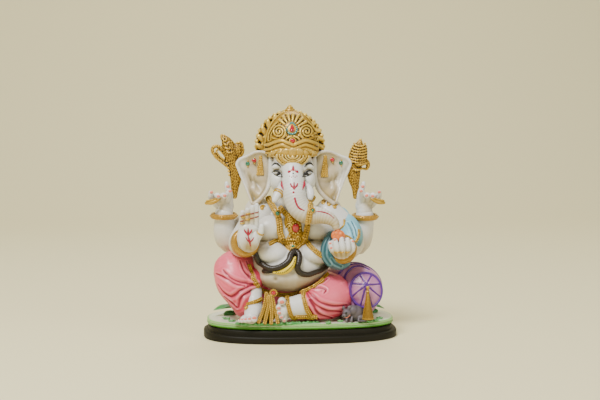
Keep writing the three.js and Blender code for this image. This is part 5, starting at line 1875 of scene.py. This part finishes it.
# ---------------------------------------------------------------- things round the figure
@dataclass
class Bolster:
    """The round pillow carved beside the left knee, with its piped end and gold tassel."""

    hub: tuple[float, float, float] = (53.2, -31.2, 41.9)
    facing: tuple[float, float, float] = (-0.14, -0.96, 0.22)
    ring: tuple[float, float] = (13.2, 14.6)
    spokes_rise: float = 4.8

    def on_ring(self, t: float) -> np.ndarray:
        """A place on the piped ring of the face, at an angle in radians."""
        across, up = Vector((1, -0.14, 0)).normalized(), Vector((0, 0.22, 1)).normalized()
        return (
            np.array(self.hub) + self.ring[0] * math.cos(t) * np.array(across)
            + self.ring[1] * math.sin(t) * np.array(up)
        )

    def build(self) -> None:
        """Builds and paints the pillow and its tassel."""
        clay = Clay()
        clay.rod([(42, 20, 38, 17.6), (47.5, 2, 42.6, 18.4), (51.8, -15, 41.0, 18.2)], sides=48, steps=30)
        clay.rod([(30, 5, 44.5, 13.0), (38, -4, 45, 14.5)], sides=40, steps=12)
        clay.rod([(43, 18, 33.4, 17.0), (50.0, -14, 32.4, 16.0)], sides=48, steps=30)
        turn = math.degrees(math.atan2(self.facing[2], -self.facing[1]))
        clay.ball(
            (self.hub[0] + 0.8, self.hub[1] + 7.5, self.hub[2] - 1.8), (14.2, 8.0, 16.0), (-turn, 0, -8),
            sides=40
        )
        body = clay.melt("bolster", 0.6, 6)
        skin = Surface(body)
        middle = np.array(skin.touch((self.hub[0], self.hub[1], self.hub[2] + self.spokes_rise)))
        spots = [self.on_ring(t) for t in np.radians(range(0, 361, 8))]
        rim = np.array([(*skin.touch(spot, 0.1), 1.1) for spot in spots])
        lines = [rim]
        for angle in range(22, 382, 45):
            far = self.on_ring(math.radians(angle))
            steps = [(1 - s) * middle + s * far for s in (0.06, 0.35, 0.7, 1.0)]
            width = [1.2, 0.75, 0.6, 0.8]
            lines.append(np.array([(*skin.touch(p, 0.05), w) for p, w in zip(steps, width)]))
        bands = [
            (
                [
                    (36.4, 46, 0.7), (36.2, 50, 0.9), (37.4, 54.4, 1.0), (41.5, 59.2, 1.0), (46, 61.0, 1.0),
                    (51, 61.0, 0.9), (57, 58.4, 0.6)
                ],
                -22
            ),
            ([(32.4, 54, 0.8), (36.5, 58.4, 0.9), (41, 61.8, 0.8)], -12)
        ]
        bands = [skin.lay(line, y, 0) for line, y in bands]
        for y, x, z in ((-6, 50.5, 41), (5, 47.6, 39.5), (16, 44, 38)):
            wrap = [
                (x + 26 * math.cos(t), y - 0.14 * 26 * math.cos(t), z + 26 * math.sin(t))
                for t in np.radians(range(-40, 131, 6))
            ]
            bands.append(np.array([(*skin.nearest(spot), 0.9) for spot in wrap]))
        carve_folds(body, [*bands, *lines[1:]], 0.35, 0.9)
        purple = Clay()
        purple.rod(rim, sides=12, steps=60)
        for rows in lines[1:]:
            purple.rod(rows, sides=8)
        for rows in bands:
            purple.rod(rows, sides=8)
        dress(purple.join("bolster_piping"), Paints.PURPLE, Slot.LILAC, relief=False)
        places = places_of(body)
        # Painted shade along the piped ring and bands, and low down.
        gap = line_distance(places, rim)[0]
        near = np.exp(-((gap / 2.6) ** 2)) * 0.75
        for rows in bands:
            near = np.maximum(near, 0.6 * np.exp(-((line_distance(places, rows)[0] / 2.2) ** 2)))
        low = ramp(places[:, 2], 30, 20) * 0.5
        set_mark(body, Mark.SHADE, np.maximum(near, low))
        dress(body, Paints.LILAC, Slot.LILAC, "bolster")
        self.tassel()

    @staticmethod
    def tassel() -> None:
        """The gold cone tassel that stands against the pillow's end."""
        clay = Clay()
        clay.ball((53.8, -37.2, 45.2), (1.5, 1.4, 1.4))
        for k in range(9):
            lean = (k - 4) / 4
            top = (53.8 + 0.3 * lean, -37.4 - 0.5 * (1 - lean * lean), 44.0, 0.5)
            foot = (53.9 + 3.9 * lean, -38.6 - 1.8 * (1 - lean * lean), 19.0, 1.15)
            middle = (53.8 + 1.9 * lean, -38.0 - 1.4 * (1 - lean * lean), 31.0, 0.95)
            clay.rod([top, middle, foot], sides=10)
        clay.ball((53.9, -36.6, 23), (3.8, 2.4, 6.0))
        clay.hoop((53.8, -37.4, 41.8), (0.05, 0, 1), 1.2, 0.6)
        tassel = clay.melt("bolster_tassel", 0.4, 1)
        set_mark(tassel, Mark.SHADE, np.full(len(tassel.data.vertices), 0.35))
        dress(tassel, Paints.OLD_GOLD, Slot.GOLD, "bolster_tassel")


@dataclass
class Mouse:
    """The little grey mouse that crouches by the knee."""

    def build(self) -> None:
        """Builds and paints the mouse."""
        clay = Clay()
        clay.ball((44.5, -33.5, 23.0), (6.8, 5.0, 6.6), (0, 14, 0), sides=28)
        clay.ball((41.5, -34.5, 25.2), (5.0, 4.6, 5.0))
        clay.ball((36.4, -37.0, 23.8), (4.0, 3.6, 3.6), (0, 20, 0))
        clay.ball((34.0, -38.4, 21.8), (2.2, 2.2, 1.9))
        clay.ball((33.6, -34.8, 27.8), (1.5, 0.9, 1.7))
        clay.ball((38.4, -37.2, 28.2), (1.7, 1.0, 1.9))
        clay.ball((47.8, -35.0, 19.6), (4.4, 4.4, 3.4))
        for x, y in ((36.2, -39.6), (40.4, -39.6), (46.5, -39.4)):
            clay.rod([(x, y + 2, 20.0, 1.3), (x - 0.6, y, 17.4, 1.1)], sides=12)
        clay.rod(
            [
                (50.5, -34.5, 19.6, 1.2), (53.4, -36.5, 18.0, 1.0), (51.0, -39.4, 17.4, 0.8),
                (46.0, -40.4, 17.3, 0.6)
            ]
        )
        mouse = clay.melt("mouse", 0.4, 2)
        settle(mouse)
        places = places_of(mouse)
        # Painted shade low on the mouse, near the slab.
        set_mark(mouse, Mark.SHADE, ramp(places[:, 2], 21, 16.5))
        dress(mouse, Paints.MOUSE, Slot.GREY, "mouse")
        skin, ink, red = Surface(mouse), Clay(), Clay()
        ink.ball(skin.touch((35.4, -40, 24.4), 0.1), (0.95, 0.6, 0.95), sides=12)
        ink.ball(skin.touch((33.0, -40, 21.6), 0.1), 0.5, sides=10)
        red.rod(skin.lay([(34.5, 20.4, 0.3), (36.5, 20.6, 0.4), (38.4, 22.4, 0.3)], -40, 0.1, 0.8), sides=8)
        dress(ink.join("mouse_eyes"), Paints.INK, Slot.GREY, relief=False)
        dress(red.join("mouse_collar"), Paints.CORAL, Slot.SWEET, relief=False)


@dataclass
class Weapons:
    """The carved axe and mace that the rear hands hold."""

    def build(self) -> None:
        """Builds and paints both."""
        self.axe()
        self.mace()

    @staticmethod
    def carve(obj: Piece, paint: Paint, node: str) -> None:
        """Chases a fine scroll ground into a casting and paints it."""
        places = places_of(obj)
        x, y, z = places.T
        waves = np.sin(1.9 * x + 2.4 * np.sin(0.7 * z + 0.3 * y)) * np.sin(
            1.4 * z + 2.1 * np.sin(0.95 * x + 0.4 * y)
        )
        swell(obj, CHASING_DEPTH * waves)
        dress(obj, paint, Slot.GOLD, node)

    def axe(self) -> None:
        """A shaft that widens to a carved head, with a looped blade and a volute."""
        clay = Clay()
        clay.rod(
            [
                (-56, 1.5, 119, 2.2), (-55.8, 1.5, 127, 3.4), (-54.8, 1.8, 136, 5.0), (-56.2, 2, 145, 4.9),
                (-58.4, 2, 151, 4.4)
            ],
            flat=0.75, sides=24
        )
        clay.rod(
            [
                (-58, 2, 150, 4.6), (-59.6, 2, 157, 6.4), (-61.6, 2, 164, 5.4), (-64.2, 2, 169, 3.2),
                (-66.0, 2, 172, 1.2)
            ],
            flat=0.7, sides=24
        )
        clay.ball((-54.5, 2, 159), (5.4, 3.6, 6.0), (0, -30, 0))
        for reach, z in ((0, 168.4), (1, 165.2), (2, 162.0), (3, 158.6)):
            x = -64.4 + 1.3 * reach
            wide = 2.6 + 0.95 * reach
            clay.rod(
                [
                    (x - wide * 0.8, 0.6, z + 1.2, 0.6), (x, -1.6 - 0.5 * reach, z - 1.4, 0.8),
                    (x + wide, 0.2, z + 0.2, 0.6)
                ]
            )
        loop = [
            (-61.5, 145), (-65.4, 148.2), (-70.6, 152.4), (-74.3, 157.2), (-74.6, 161), (-71.6, 162.6),
            (-67.4, 161.2), (-64.6, 157.4), (-62.4, 152)
        ]
        clay.rod([(x, 1.6, z, 1.5) for x, z in loop], flat=1.2, sides=14)
        ear = [(-63.0, 149.4), (-67.6, 153.0), (-70.8, 156.8), (-71.2, 159.4), (-68.6, 159.2), (-65.6, 155.8)]
        clay.rod([(x, 1.4, z, 0.8) for x, z in ear], sides=12)
        volute = spiral(-51.6, 162.6, -4.0, 1.7, 1.35, 250)
        clay.rod([(x, 1.4, z, r) for x, z, r in volute], sides=14)
        clay.ball((-51.6, 3, 162.6), (3.4, 2.2, 3.4))
        clay.rod([(-52, 1.4, 153, 1.6), (-49.6, 1.4, 156.6, 1.9), (-49, 1.4, 160, 1.5)])
        clay.ball((-67.0, 2, 170.4), (1.0, 1.6, 2.8), (0, -6, 0))
        for z in np.arange(138, 156, 3.0):
            clay.ball((-60.6 - 0.15 * (z - 138), 0.6, z), 1.2, sides=10)
            clay.ball((-52.6 + 0.1 * (z - 138), 0.6, z + 1.4), 1.1, sides=10)
        self.carve(clay.melt("axe", 0.45, 1), Paints.OLD_GOLD, "axe")

    def mace(self) -> None:
        """A shaft that widens to a ribbed shell head, with a curled prong."""
        clay = Clay()
        clay.rod(
            [
                (48.4, 1.5, 118, 2.4), (48.0, 1.5, 126, 3.2), (46.6, 1.8, 136, 5.6), (47.0, 2, 144, 6.0),
                (49, 2, 150, 6.4)
            ],
            flat=0.7, sides=28
        )
        clay.rod(
            [
                (49.6, 2, 149, 7.0), (50.2, 2, 154, 7.4), (50.8, 2, 160, 5.4), (51.8, 2, 165, 2.6),
                (52.4, 2, 168, 0.9)
            ],
            flat=0.75, sides=28
        )
        for k, z in enumerate(np.arange(149.5, 165.5, 2.3)):
            wide = 7.6 * math.sqrt(max(0.05, 1 - ((z - 151) / 16) ** 2))
            x = 49.8 + 0.13 * (z - 149.5)
            depth = wide * 0.75
            arc = [
                (x - wide * math.cos(t), 2 - depth * math.sin(t) - 0.2, z - 2.4 * math.sin(t) + 1.2, 0.78)
                for t in np.radians(range(0, 181, 15))
            ]
            clay.rod(arc, sides=10)
            clay.rod([(a, 4 - b, c, r) for a, b, c, r in arc], sides=10)
        prong = [
            (53.6, 1.8, 149.5, 3.4), (57.4, 1.8, 148.4, 2.6), (59.0, 1.8, 145.4, 1.8),
            (57.6, 1.6, 142.4, 1.4), (54.6, 1.4, 142.8, 1.1)
        ]
        clay.rod(prong, sides=16)
        clay.rod([(44.6, 1.4, 148, 1.2), (50, -3.4, 146.6, 1.5), (56.6, -1.4, 147.4, 1.2)], sides=12)
        clay.rod([(43.4, 1.4, 143, 0.9), (48, -3.0, 141.8, 1.2), (53.2, -0.8, 142.6, 0.9)], sides=12)
        clay.ball((55.6, 1.6, 152.4), (2.4, 2.4, 3.4))
        self.carve(clay.melt("mace", 0.45, 1), Paints.OLD_GOLD, "mace")


# ---------------------------------------------------------------- jewellery
@dataclass
class Jewellery:
    """Everything of gold that is worn: belts, chains, bands, cuffs, bangles, ear drops and anklets."""

    def build(self, body: Body, head: Head) -> None:
        """Builds and paints the jewellery on finished masses."""
        self.neck(
            Surface(body.torso, FINISHED["blessing_arm"], FINISHED["offering_arm"]),
            Surface(body.torso, head.skin)
        )
        self.waist(
            Surface(
                body.torso, FINISHED["raised_leg"], FINISHED["folded_leg"], FINISHED["seat_drape"],
                FINISHED["folded_shin"]
            )
        )
        self.ankles(
            Surface(
                FINISHED["raised_foot"], FINISHED["folded_foot"], FINISHED["folded_shin"],
                FINISHED["folded_leg"]
            )
        )
        self.arms()
        self.ears()

    @staticmethod
    def band(clay: Clay, rows: np.ndarray, width: float, bead: float = 0.85, cord: float = 0.55) -> None:
        """Adds a band of two cords with beads between.

        Args:
            clay: where it is added.
            rows: the band's middle line.
            width: the distance between its cords.
            bead: the beads' radius.
            cord: the cords' radius.
        """
        bed = rows.copy()
        bed[:, 3] = width * 0.55
        # The bed between the cords and beads carries painted shade.
        clay.tone = 0.9
        clay.rod(bed, flat=0.45, sides=12)
        clay.tone = 0.0
        for side in (-0.5, 0.5):
            edge = beside(rows, side * width, cord)
            edge[:, 1] -= 0.25
            clay.rod(edge, sides=8)
        for side in (-0.23, 0.23) if width > 3.1 else (0,):
            middle = beside(rows, side * width, bead)
            middle[:, 1] -= 0.75
            clay.beads(middle, bead * 2.05)

    def neck(self, chest: Surface, front: Surface) -> None:
        """The necklace, the long chain, the pendant with its stones, and the chest and shoulder bands."""
        gold, gems, green = Clay(), Clay(), Clay()
        straps = [
            (
                [
                    (-29.5, 121.5, 1), (-27.4, 117, 1), (-24.6, 112, 1), (-21.4, 106, 1), (-20, 98.5, 1),
                    (-19.4, 91.5, 1), (-17.6, 87, 1)
                ],
                (-5, -11, -16, -20, -22.5, -23.5, -25), 4.2, chest
            ),
            (
                [
                    (8.6, 122, 1), (6.6, 116, 1), (5.8, 110, 1), (4.8, 103, 1), (3.6, 96.5, 1), (2.4, 90, 1),
                    (1.2, 86.5, 1)
                ],
                (-12, -22, -34, -30, -25, -24, -25), 4.0, front
            ),
            ([(-19.6, 113, 1), (-14.8, 107.6, 1), (-11.5, 104.5, 1)], (-14, -18, -20), 3.4, chest)
        ]
        for line, depths, width, ground in straps:
            self.band(gold, ground.hang(line, -30, depths), width, 1.0)
        lines = [
            ([(-28.4, 81.6, 1), (-24, 83.8, 1), (-19.4, 86.2, 1)], -34, 3.0),
            ([(1.0, 86.4, 1), (5.6, 80, 1), (10.4, 75.8, 1), (15.0, 72.4, 1)], -36, 3.2),
            ([(-19.6, 89, 1), (-16.6, 83.6, 1), (-13.0, 79.0, 1), (-9.6, 77.2, 1)], -38, 2.8),
            ([(1.4, 88, 1), (-1.6, 83.2, 1), (-5.6, 79.0, 1), (-9.6, 77.2, 1)], -38, 2.8),
        ]
        for line, y, width in lines:
            self.band(gold, chest.lay(line, y, 0.9), width)
        plate = Clay()
        spots = [
            (-11.6, -36.2, 100.6, 5.2, 8.4), (-7.4, -36.4, 95.6, 6.2, 8.6), (-4.2, -36.4, 89.6, 5.4, 4.6),
            (-9.4, -37.0, 84.6, 8.6, 4.6), (-9.4, -37.6, 80.4, 4.2, 3.0)
        ]
        for x, y, z, wide, high in spots:
            centre = chest.touch((x, y, z), -0.4)
            plate.ball(centre, (wide, 2.0, high), (6, 0, 0), sides=24)
        plate = plate.melt("pendant_ground", 0.6, 2)
        ground = Surface(plate)
        clay = Clay()
        clay.parts.append(plate)
        for x, z, reach, start in (
            (-13, 97, 3.4, 20), (-13, 90.6, 3.0, 60), (-5.4, 87.6, 2.6, 200), (-11.8, 103.4, 2.6, 90)
        ):
            clay.rod(ground.lay(spiral(x, z, reach, 1.6, 0.55, start), -42, 0.3, 0.8))
        for x in np.arange(-17, -1, 2.0):
            clay.ball(ground.touch((x, -42, 86.6)), 0.85, sides=8)
            clay.ball(ground.touch((x + 1, -42, 84.0)), 0.7, sides=8)
        for turn in np.radians(range(0, 360, 30)):
            clay.ball(
                ground.touch((-7.3 + 3.9 * math.cos(turn), -42, 96.4 + 4.9 * math.sin(turn))), 0.9, sides=8
            )
        dress(clay.melt("pendant", 0.35, 1), Paints.GOLD, Slot.GOLD, "pendant")
        gems.ball(ground.touch((-7.2, -42, 96.6), 0.5), (3.0, 1.5, 4.0), (10, 0, 0), sides=20)
        green.ball(ground.touch((-9.6, -42, 80.8), 0.4), (1.9, 0.9, 1.7), sides=14)
        self.setting(
            gold, green, chest.hang([(-21.4, 107.6, 1), (-21.2, 107.4, 1)], -30, (-22.6, -22.6))[0, :3], 2.9,
            1.8
        )
        self.setting(gold, green, front.touch((6.0, -44, 110.8), 1.5), 2.4, 1.4)
        for centre, y in (
            ((18.6, 115.2), -18), ((23.4, 113.8), -18), ((28.4, 111.6), -18), ((-35.8, 116.2), -16),
            ((-33.4, 111.0), -18)
        ):
            for reach in (2.6, 1.4):
                ring = spiral(centre[0], centre[1], reach, 1.0, 0.6, 40)
                gold.rod(chest.lay(ring, y, 0.3, 0.8))
            gold.ball(chest.touch((centre[0], y, centre[1]), 0.3), 0.9, sides=10)
        dress(
            gold.join("chains"), Paints.CHAIN_GOLD, Slot.GOLD, "necklace", "long_chain", "chest_band_right",
            "chest_band_left"
        )
        dress(gems.join("pendant_stone"), RUBY, Slot.GEM, "pendant_gem")
        dress(green.join("green_stones"), EMERALD, Slot.GEM)

    @staticmethod
    def setting(gold: Clay, stone: Clay, place: np.ndarray, outer: float, inner: float) -> None:
        """Adds a round stone in a beaded gold setting."""
        gold.ball(place + (0, 0.6, 0), (outer, 1.0, outer), sides=18)
        for turn in np.radians(range(0, 360, 36)):
            gold.ball(
                place + (outer * 0.86 * math.cos(turn), -0.1, outer * 0.86 * math.sin(turn)), 0.6, sides=8
            )
        stone.ball(place + (0, -0.2, 0), (inner, 1.0, inner), sides=16)

    def waist(self, ground: Surface) -> None:
        """The waist belt with its buckle stone, and the gold pleats that fall from it."""
        gold = Clay()
        left = [
            (-46.5, 66, 1), (-43.0, 56.5, 1), (-40.2, 49.8, 1), (-36, 45.2, 1), (-30.5, 43, 1), (-26, 42.4, 1)
        ]
        right = [
            (-26, 42.4, 1), (-19.5, 40.6, 1), (-12, 40.6, 1), (-4.5, 41.8, 1), (2, 43.8, 1), (8.4, 47.2, 1),
            (14.2, 51.4, 1), (20, 57.4, 1)
        ]
        for line in (left, right):
            self.band(gold, ground.lay(line, -42, 0.5), 2.9, 0.8, 0.6)
        gem = np.array((-26.0, -44.8, 42.8))
        for turn in np.radians(range(0, 360, 30)):
            gold.ball(gem + (2.7 * math.cos(turn), 0.2, 2.5 * math.sin(turn)), 0.8, sides=8)
        gold.ball(gem + (0, 0.9, 0), (3.2, 1.2, 3.0), sides=18)
        back = [(46 * math.cos(t) - 10, -2 + 40 * math.sin(t), 52) for t in np.radians(range(-4, 185, 6))]
        gold.rod([(*ground.nearest(spot, 0.5), 1.5) for spot in back], sides=12)
        dress(gold.join("waist_belt"), Paints.CHAIN_GOLD, Slot.GOLD, "waist_belt")
        stone = Clay()
        stone.ball(gem + (0, -0.4, 0), (2.0, 1.2, 1.7), sides=16)
        dress(stone.join("belt_buckle"), RUBY, Slot.GEM, "belt_buckle")
        clay = Clay()
        strands = [
            [(-31.6, 42, 1.5), (-32.6, 35, 1.5), (-35, 26.5, 1.7), (-38.4, 18.4, 1.5)],
            [(-29.6, 40, 1.5), (-30.0, 32.5, 1.6), (-31.6, 25.5, 1.8), (-33.4, 18, 1.6)],
            [(-28.4, 40, 1.5), (-27.8, 32.5, 1.6), (-27.6, 25.5, 1.8), (-28.2, 17.8, 1.6)],
            [(-27.0, 39, 1.4), (-25.6, 32.5, 1.5), (-23.8, 25, 1.6), (-22.6, 18, 1.4)],
        ]
        for k, line in enumerate(strands):
            depth = (-40.5, -42.6, -43.2, -42.0)[k]
            rows = smooth_line([(x, depth - 0.12 * (43 - z), z, r) for x, z, r in line], 22)
            # The strands carry some painted shade.
            clay.tone = 0.55
            clay.rod(rows, sides=16)
            clay.tone = 0.0
            for side in (-1, 1):
                edge = beside(rows, side * 0.85, 0.85)
                edge[:, 1] -= 1.0
                clay.beads(edge, 1.5)
        # The backing behind the strands is fully painted shade.
        clay.tone = 1.0
        clay.ball((-29.3, -39.5, 34), (4.0, 2.6, 8.0))
        clay.ball((-30.2, -38.6, 24), (6.6, 2.6, 7.2))
        dress(clay.join("pleat_fall"), Paints.CHAIN_GOLD, Slot.GOLD, "pleat_fall")

    def ankles(self, ground: Surface) -> None:
        """The anklets and the beaded hem of the left drape."""
        for name, paint, line, y, width in (
            (
                "raised_anklet", Paints.CHAIN_GOLD,
                [(-51.8, 30.6, 1), (-47.5, 32, 1), (-43, 33.8, 1), (-38.5, 35.4, 1), (-34.5, 37.4, 1)], -38,
                2.4
            ),
            (
                "folded_anklet", Paints.CHAIN_GOLD,
                [
                    (-14.2, 39.4, 1), (-13.8, 33, 1), (-12.0, 26, 1), (-9.6, 21.6, 1), (-3.8, 20.4, 1),
                    (3, 19.4, 1)
                ],
                -42, 2.6
            ),
            (
                "folded_hem", Paints.CHAIN_GOLD,
                [(-0.8, 42.6, 1), (-0.2, 36, 1), (1.4, 30, 1), (4.6, 23.6, 1), (8.6, 18.4, 1)], -44, 3.0
            )
        ):
            clay = Clay()
            self.band(clay, ground.lay(line, y, 0.45), width)
            dress(clay.join(name), paint, Slot.GOLD, name)

    @staticmethod
    def arms() -> None:
        """The rear bangles and the broad cuffs of the front hands."""
        for name, centre in (
            ("rear_bangle_right", (-65.2, 2, 103.0)), ("rear_bangle_left", (56.3, 2, 101.2))
        ):
            clay = Clay()
            for lift, wire, reach in ((-1.1, 1.2, 10.2), (1.1, 1.2, 10.0), (0, 1.3, 10.6)):
                clay.hoop((centre[0], centre[1], centre[2] + lift), (0, -0.06, 1), reach, wire)
            for turn in np.radians(range(0, 360, 12)):
                clay.ball(
                    (centre[0] + 11.6 * math.cos(turn), centre[1] + 11.6 * math.sin(turn), centre[2]), 0.75,
                    sides=8
                )
            dress(clay.join(name), Paints.CUFF_GOLD, Slot.GOLD, name)
        for name, centre, reach in (
            ("blessing_cuff", (-48.6, -30.5, 83.4), (10.2, 10.4)),
            ("offering_cuff", (33.0, -30.5, 77.2), (11.2, 10.6)),
        ):
            clay = Clay()
            facing = (0.18, -1, 0.22) if name == "blessing_cuff" else (-0.1, -1, 0.3)
            centre = np.array(centre)
            clay.hoop(centre + (0, -0.6, 0), facing, (reach[0] - 0.9, reach[1] - 0.9), 2.6)
            clay.hoop(centre + (0, 2.4, -0.4), facing, (reach[0] + 0.2, reach[1] + 0.2), 2.0)
            clay.hoop(centre + (0, -3.0, 0.4), facing, (reach[0] - 2.6, reach[1] - 2.6), 0.8)
            across, up = normal_to(facing)
            for turn in np.radians(range(0, 360, 10)):
                spot = (
                    centre + (reach[0] + 0.4) * math.cos(turn) * across
                    + (reach[1] + 0.4) * math.sin(turn) * up
                )
                clay.ball(spot + (0, -2.3, 0), 0.75, sides=8)
            dress(clay.join(name), Paints.CUFF_GOLD, Slot.GOLD, name)

    def ears(self) -> None:
        """The beaded ear drops, and the stones painted near the ears' tops."""
        red, green = Clay(), Clay()
        for name, ear, top, foot in (
            ("earring_right", "ear_right", (-34.2, 153.0), (-34.8, 139.0)),
            ("earring_left", "ear_left", (20.8, 153.0), (20.2, 137.0)),
        ):
            skin = Surface(FINISHED[ear])
            clay = Clay()
            for lean in (-1, -0.33, 0.33, 1):
                line = [
                    (top[0] + 0.6 * lean, top[1], 0.6),
                    ((top[0] + foot[0]) / 2 + 1.6 * lean, (top[1] + foot[1]) / 2, 0.75),
                    (foot[0] + 2.3 * lean, foot[1], 0.85)
                ]
                rows = skin.lay(line, -8, 0.5)
                clay.rod(rows, sides=8)
                clay.beads(rows + (0, -0.3, 0, 0.15), 1.5)
            clay.ball(skin.touch((top[0], -8, top[1] + 0.8), 0.3), (1.6, 0.9, 1.2), sides=12)
            dress(clay.join(name), Paints.CHAIN_GOLD, Slot.GOLD, name)
        left, right = Surface(FINISHED["ear_right"]), Surface(FINISHED["ear_left"])
        gold = Clay()
        for skin, x, z, stone in (
            (left, -39.6, 150.6, red), (left, -45.2, 147.9, green), (right, 27.2, 151.0, red),
            (right, 34.6, 148.2, green)
        ):
            place = skin.touch((x, -6, z), 0.2)
            stone.ball(place, (1.9, 1.1, 1.9), sides=16)
            gold.ball(place + (0.3, -0.3, 2.3), 0.75, sides=8)
            gold.ball(place + (0.2, -0.3, -2.4), 0.75, sides=8)
        dress(red.join("ear_rubies"), RUBY, Slot.GEM)
        dress(green.join("ear_emeralds"), EMERALD, Slot.GEM)
        dress(gold.join("ear_grains"), Paints.CHAIN_GOLD, Slot.GOLD)


@dataclass
class Serpent:
    """The snake tied round the belly."""

    def build(self, body: Body) -> None:
        """Builds and paints the snake on the belly."""
        skin = Surface(body.torso)
        left = skin.lay([(-33.4, 60.2, 1.8), (-30, 60.4, 2.1), (-26, 60.8, 2.0)], -38, 0.5)
        loop = skin.lay(
            [
                (-40, 76.4, 2.1), (-37.4, 70.6, 2.3), (-33.4, 66.0, 2.4), (-28, 63.4, 2.4), (-22, 63.8, 2.4),
                (-16.8, 66.2, 2.5), (-13.0, 69.6, 2.6), (-11.6, 73.6, 2.6), (-8.6, 76.2, 2.7),
                (-5.4, 74.0, 2.6), (-5.2, 69.2, 2.5), (-6.2, 63.6, 2.4), (-4.0, 59.6, 2.3), (1.6, 58.2, 2.2),
                (8.0, 60.0, 2.1), (13.5, 62.0, 2.0), (18.6, 65.8, 1.9)
            ],
            -44, 0.75
        )
        loop[:, 1] -= 0.8
        clay = Clay()
        for rows in (left, loop):
            steps = int(line_length(rows) / 0.45)
            fine = smooth_line(rows, steps)
            ringed = 1 + 0.11 * np.abs(np.sin(np.arange(steps) * 0.45 * math.pi / 1.9))
            fine[:, 3] *= ringed
            clay.rod(fine, sides=18, steps=steps)
        snake = clay.melt("naga_belt", 0.4, 1)
        dress(snake, Paints.SNAKE, Slot.SERPENT, "naga_belt")
        crescent = Surface(snake, body.torso).lay(
            [
                (-26.0, 60.6, 1.0), (-21.0, 60.4, 2.2), (-16.2, 61.8, 2.9), (-12.0, 64.8, 2.9),
                (-9.6, 68.8, 2.4), (-8.4, 73.0, 0.9)
            ],
            -47, 0.35
        )
        crescent[:, 1] = np.minimum(crescent[:, 1], crescent[:, 1].mean()) - 0.6
        clay = Clay()
        clay.rod(crescent, sides=18)
        belly = clay.melt("naga_belly", 0.4, 1)
        dress(belly, Paints.BELLY_YELLOW, Slot.SERPENT)
        scales = Clay()
        for row in smooth_line(crescent, 14)[1:-1]:
            scales.ball(row[:3] + (0, -row[3] * 0.92, 0), (0.35, 0.4, row[3] * 0.6), (0, 40, 0), sides=8)
        dress(scales.join("naga_scutes"), Paints.SNAKE, Slot.SERPENT, relief=False)


# ---------------------------------------------------------------- set-up of light and floor
@dataclass(frozen=True)
class Studio:
    """A plain pale floor and soft light."""

    floor_colour: str = "eae0b0"
    sky_colour: str = "f2efe2"
    sky_strength: float = 0.38
    lamps: tuple[tuple[str, tuple[float, float, float], float, float], ...] = (
        ("key", (-0.6, -0.9, 1.5), 0.5, 44),
        ("fill", (1.3, -1.1, 0.9), 1.0, 8),
        ("back", (0.2, 0.9, 1.5), 0.9, 12),
    )

    def build(self) -> None:
        """Adds the floor, its paint, the lights and the sky."""
        profile = [(-2.2, 0.0), (0.9, 0.0)]
        profile += [(0.9 + 0.7 * math.sin(t), 0.7 - 0.7 * math.cos(t)) for t in np.radians(range(6, 91, 6))]
        profile += [(1.6, 3.2)]
        verts = [(x, y, z) for y, z in profile for x in (-3.5, 3.5)]
        faces = [(2 * i, 2 * i + 1, 2 * i + 3, 2 * i + 2) for i in range(len(profile) - 1)]
        mesh = bpy.data.meshes.new("floor")
        mesh.from_pydata(verts, [], faces)
        mesh.shade_smooth()
        floor = add_object("floor", mesh)
        made = bpy.data.materials.new("floor_card")
        made.use_nodes = True
        shader = made.node_tree.nodes["Principled BSDF"]
        shader.inputs["Base Color"].default_value = rgb(self.floor_colour)
        shader.inputs["Roughness"].default_value = 0.85
        floor.data.materials.append(made)
        for lamp in self.lamps:
            self.lamp(*lamp)
        world = bpy.data.worlds.new("room")
        bpy.context.scene.world = world
        world.use_nodes = True
        sky = world.node_tree.nodes["Background"]
        sky.inputs["Color"].default_value = rgb(self.sky_colour)
        sky.inputs["Strength"].default_value = self.sky_strength

    @staticmethod
    def lamp(name: str, place: Place, size: float, power: float) -> None:
        """Adds one square soft lamp that faces the idol."""
        data = bpy.data.lights.new(name, "AREA")
        data.size, data.energy = size, power
        lamp = add_object(name, data)
        lamp.location = place
        lamp.rotation_euler = (Vector((0, 0, 0.09)) - Vector(place)).to_track_quat("-Z", "Y").to_euler()


def main() -> None:
    """Builds every piece in order and reports it."""
    logging.basicConfig(level=logging.INFO, format="%(name)s %(message)s")
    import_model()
    VIEWER.make_camera()
    Studio().build()
    Base().build()
    body = Body()
    body.build()
    head = Head()
    head.build()
    Crown().build(head)
    Hands().build()
    Legs().build()
    Shawls().build()
    Bolster().build()
    Mouse().build()
    Weapons().build()
    Serpent().build(body)
    Jewellery().build(body, head)


if __name__ == "__main__":
    main()
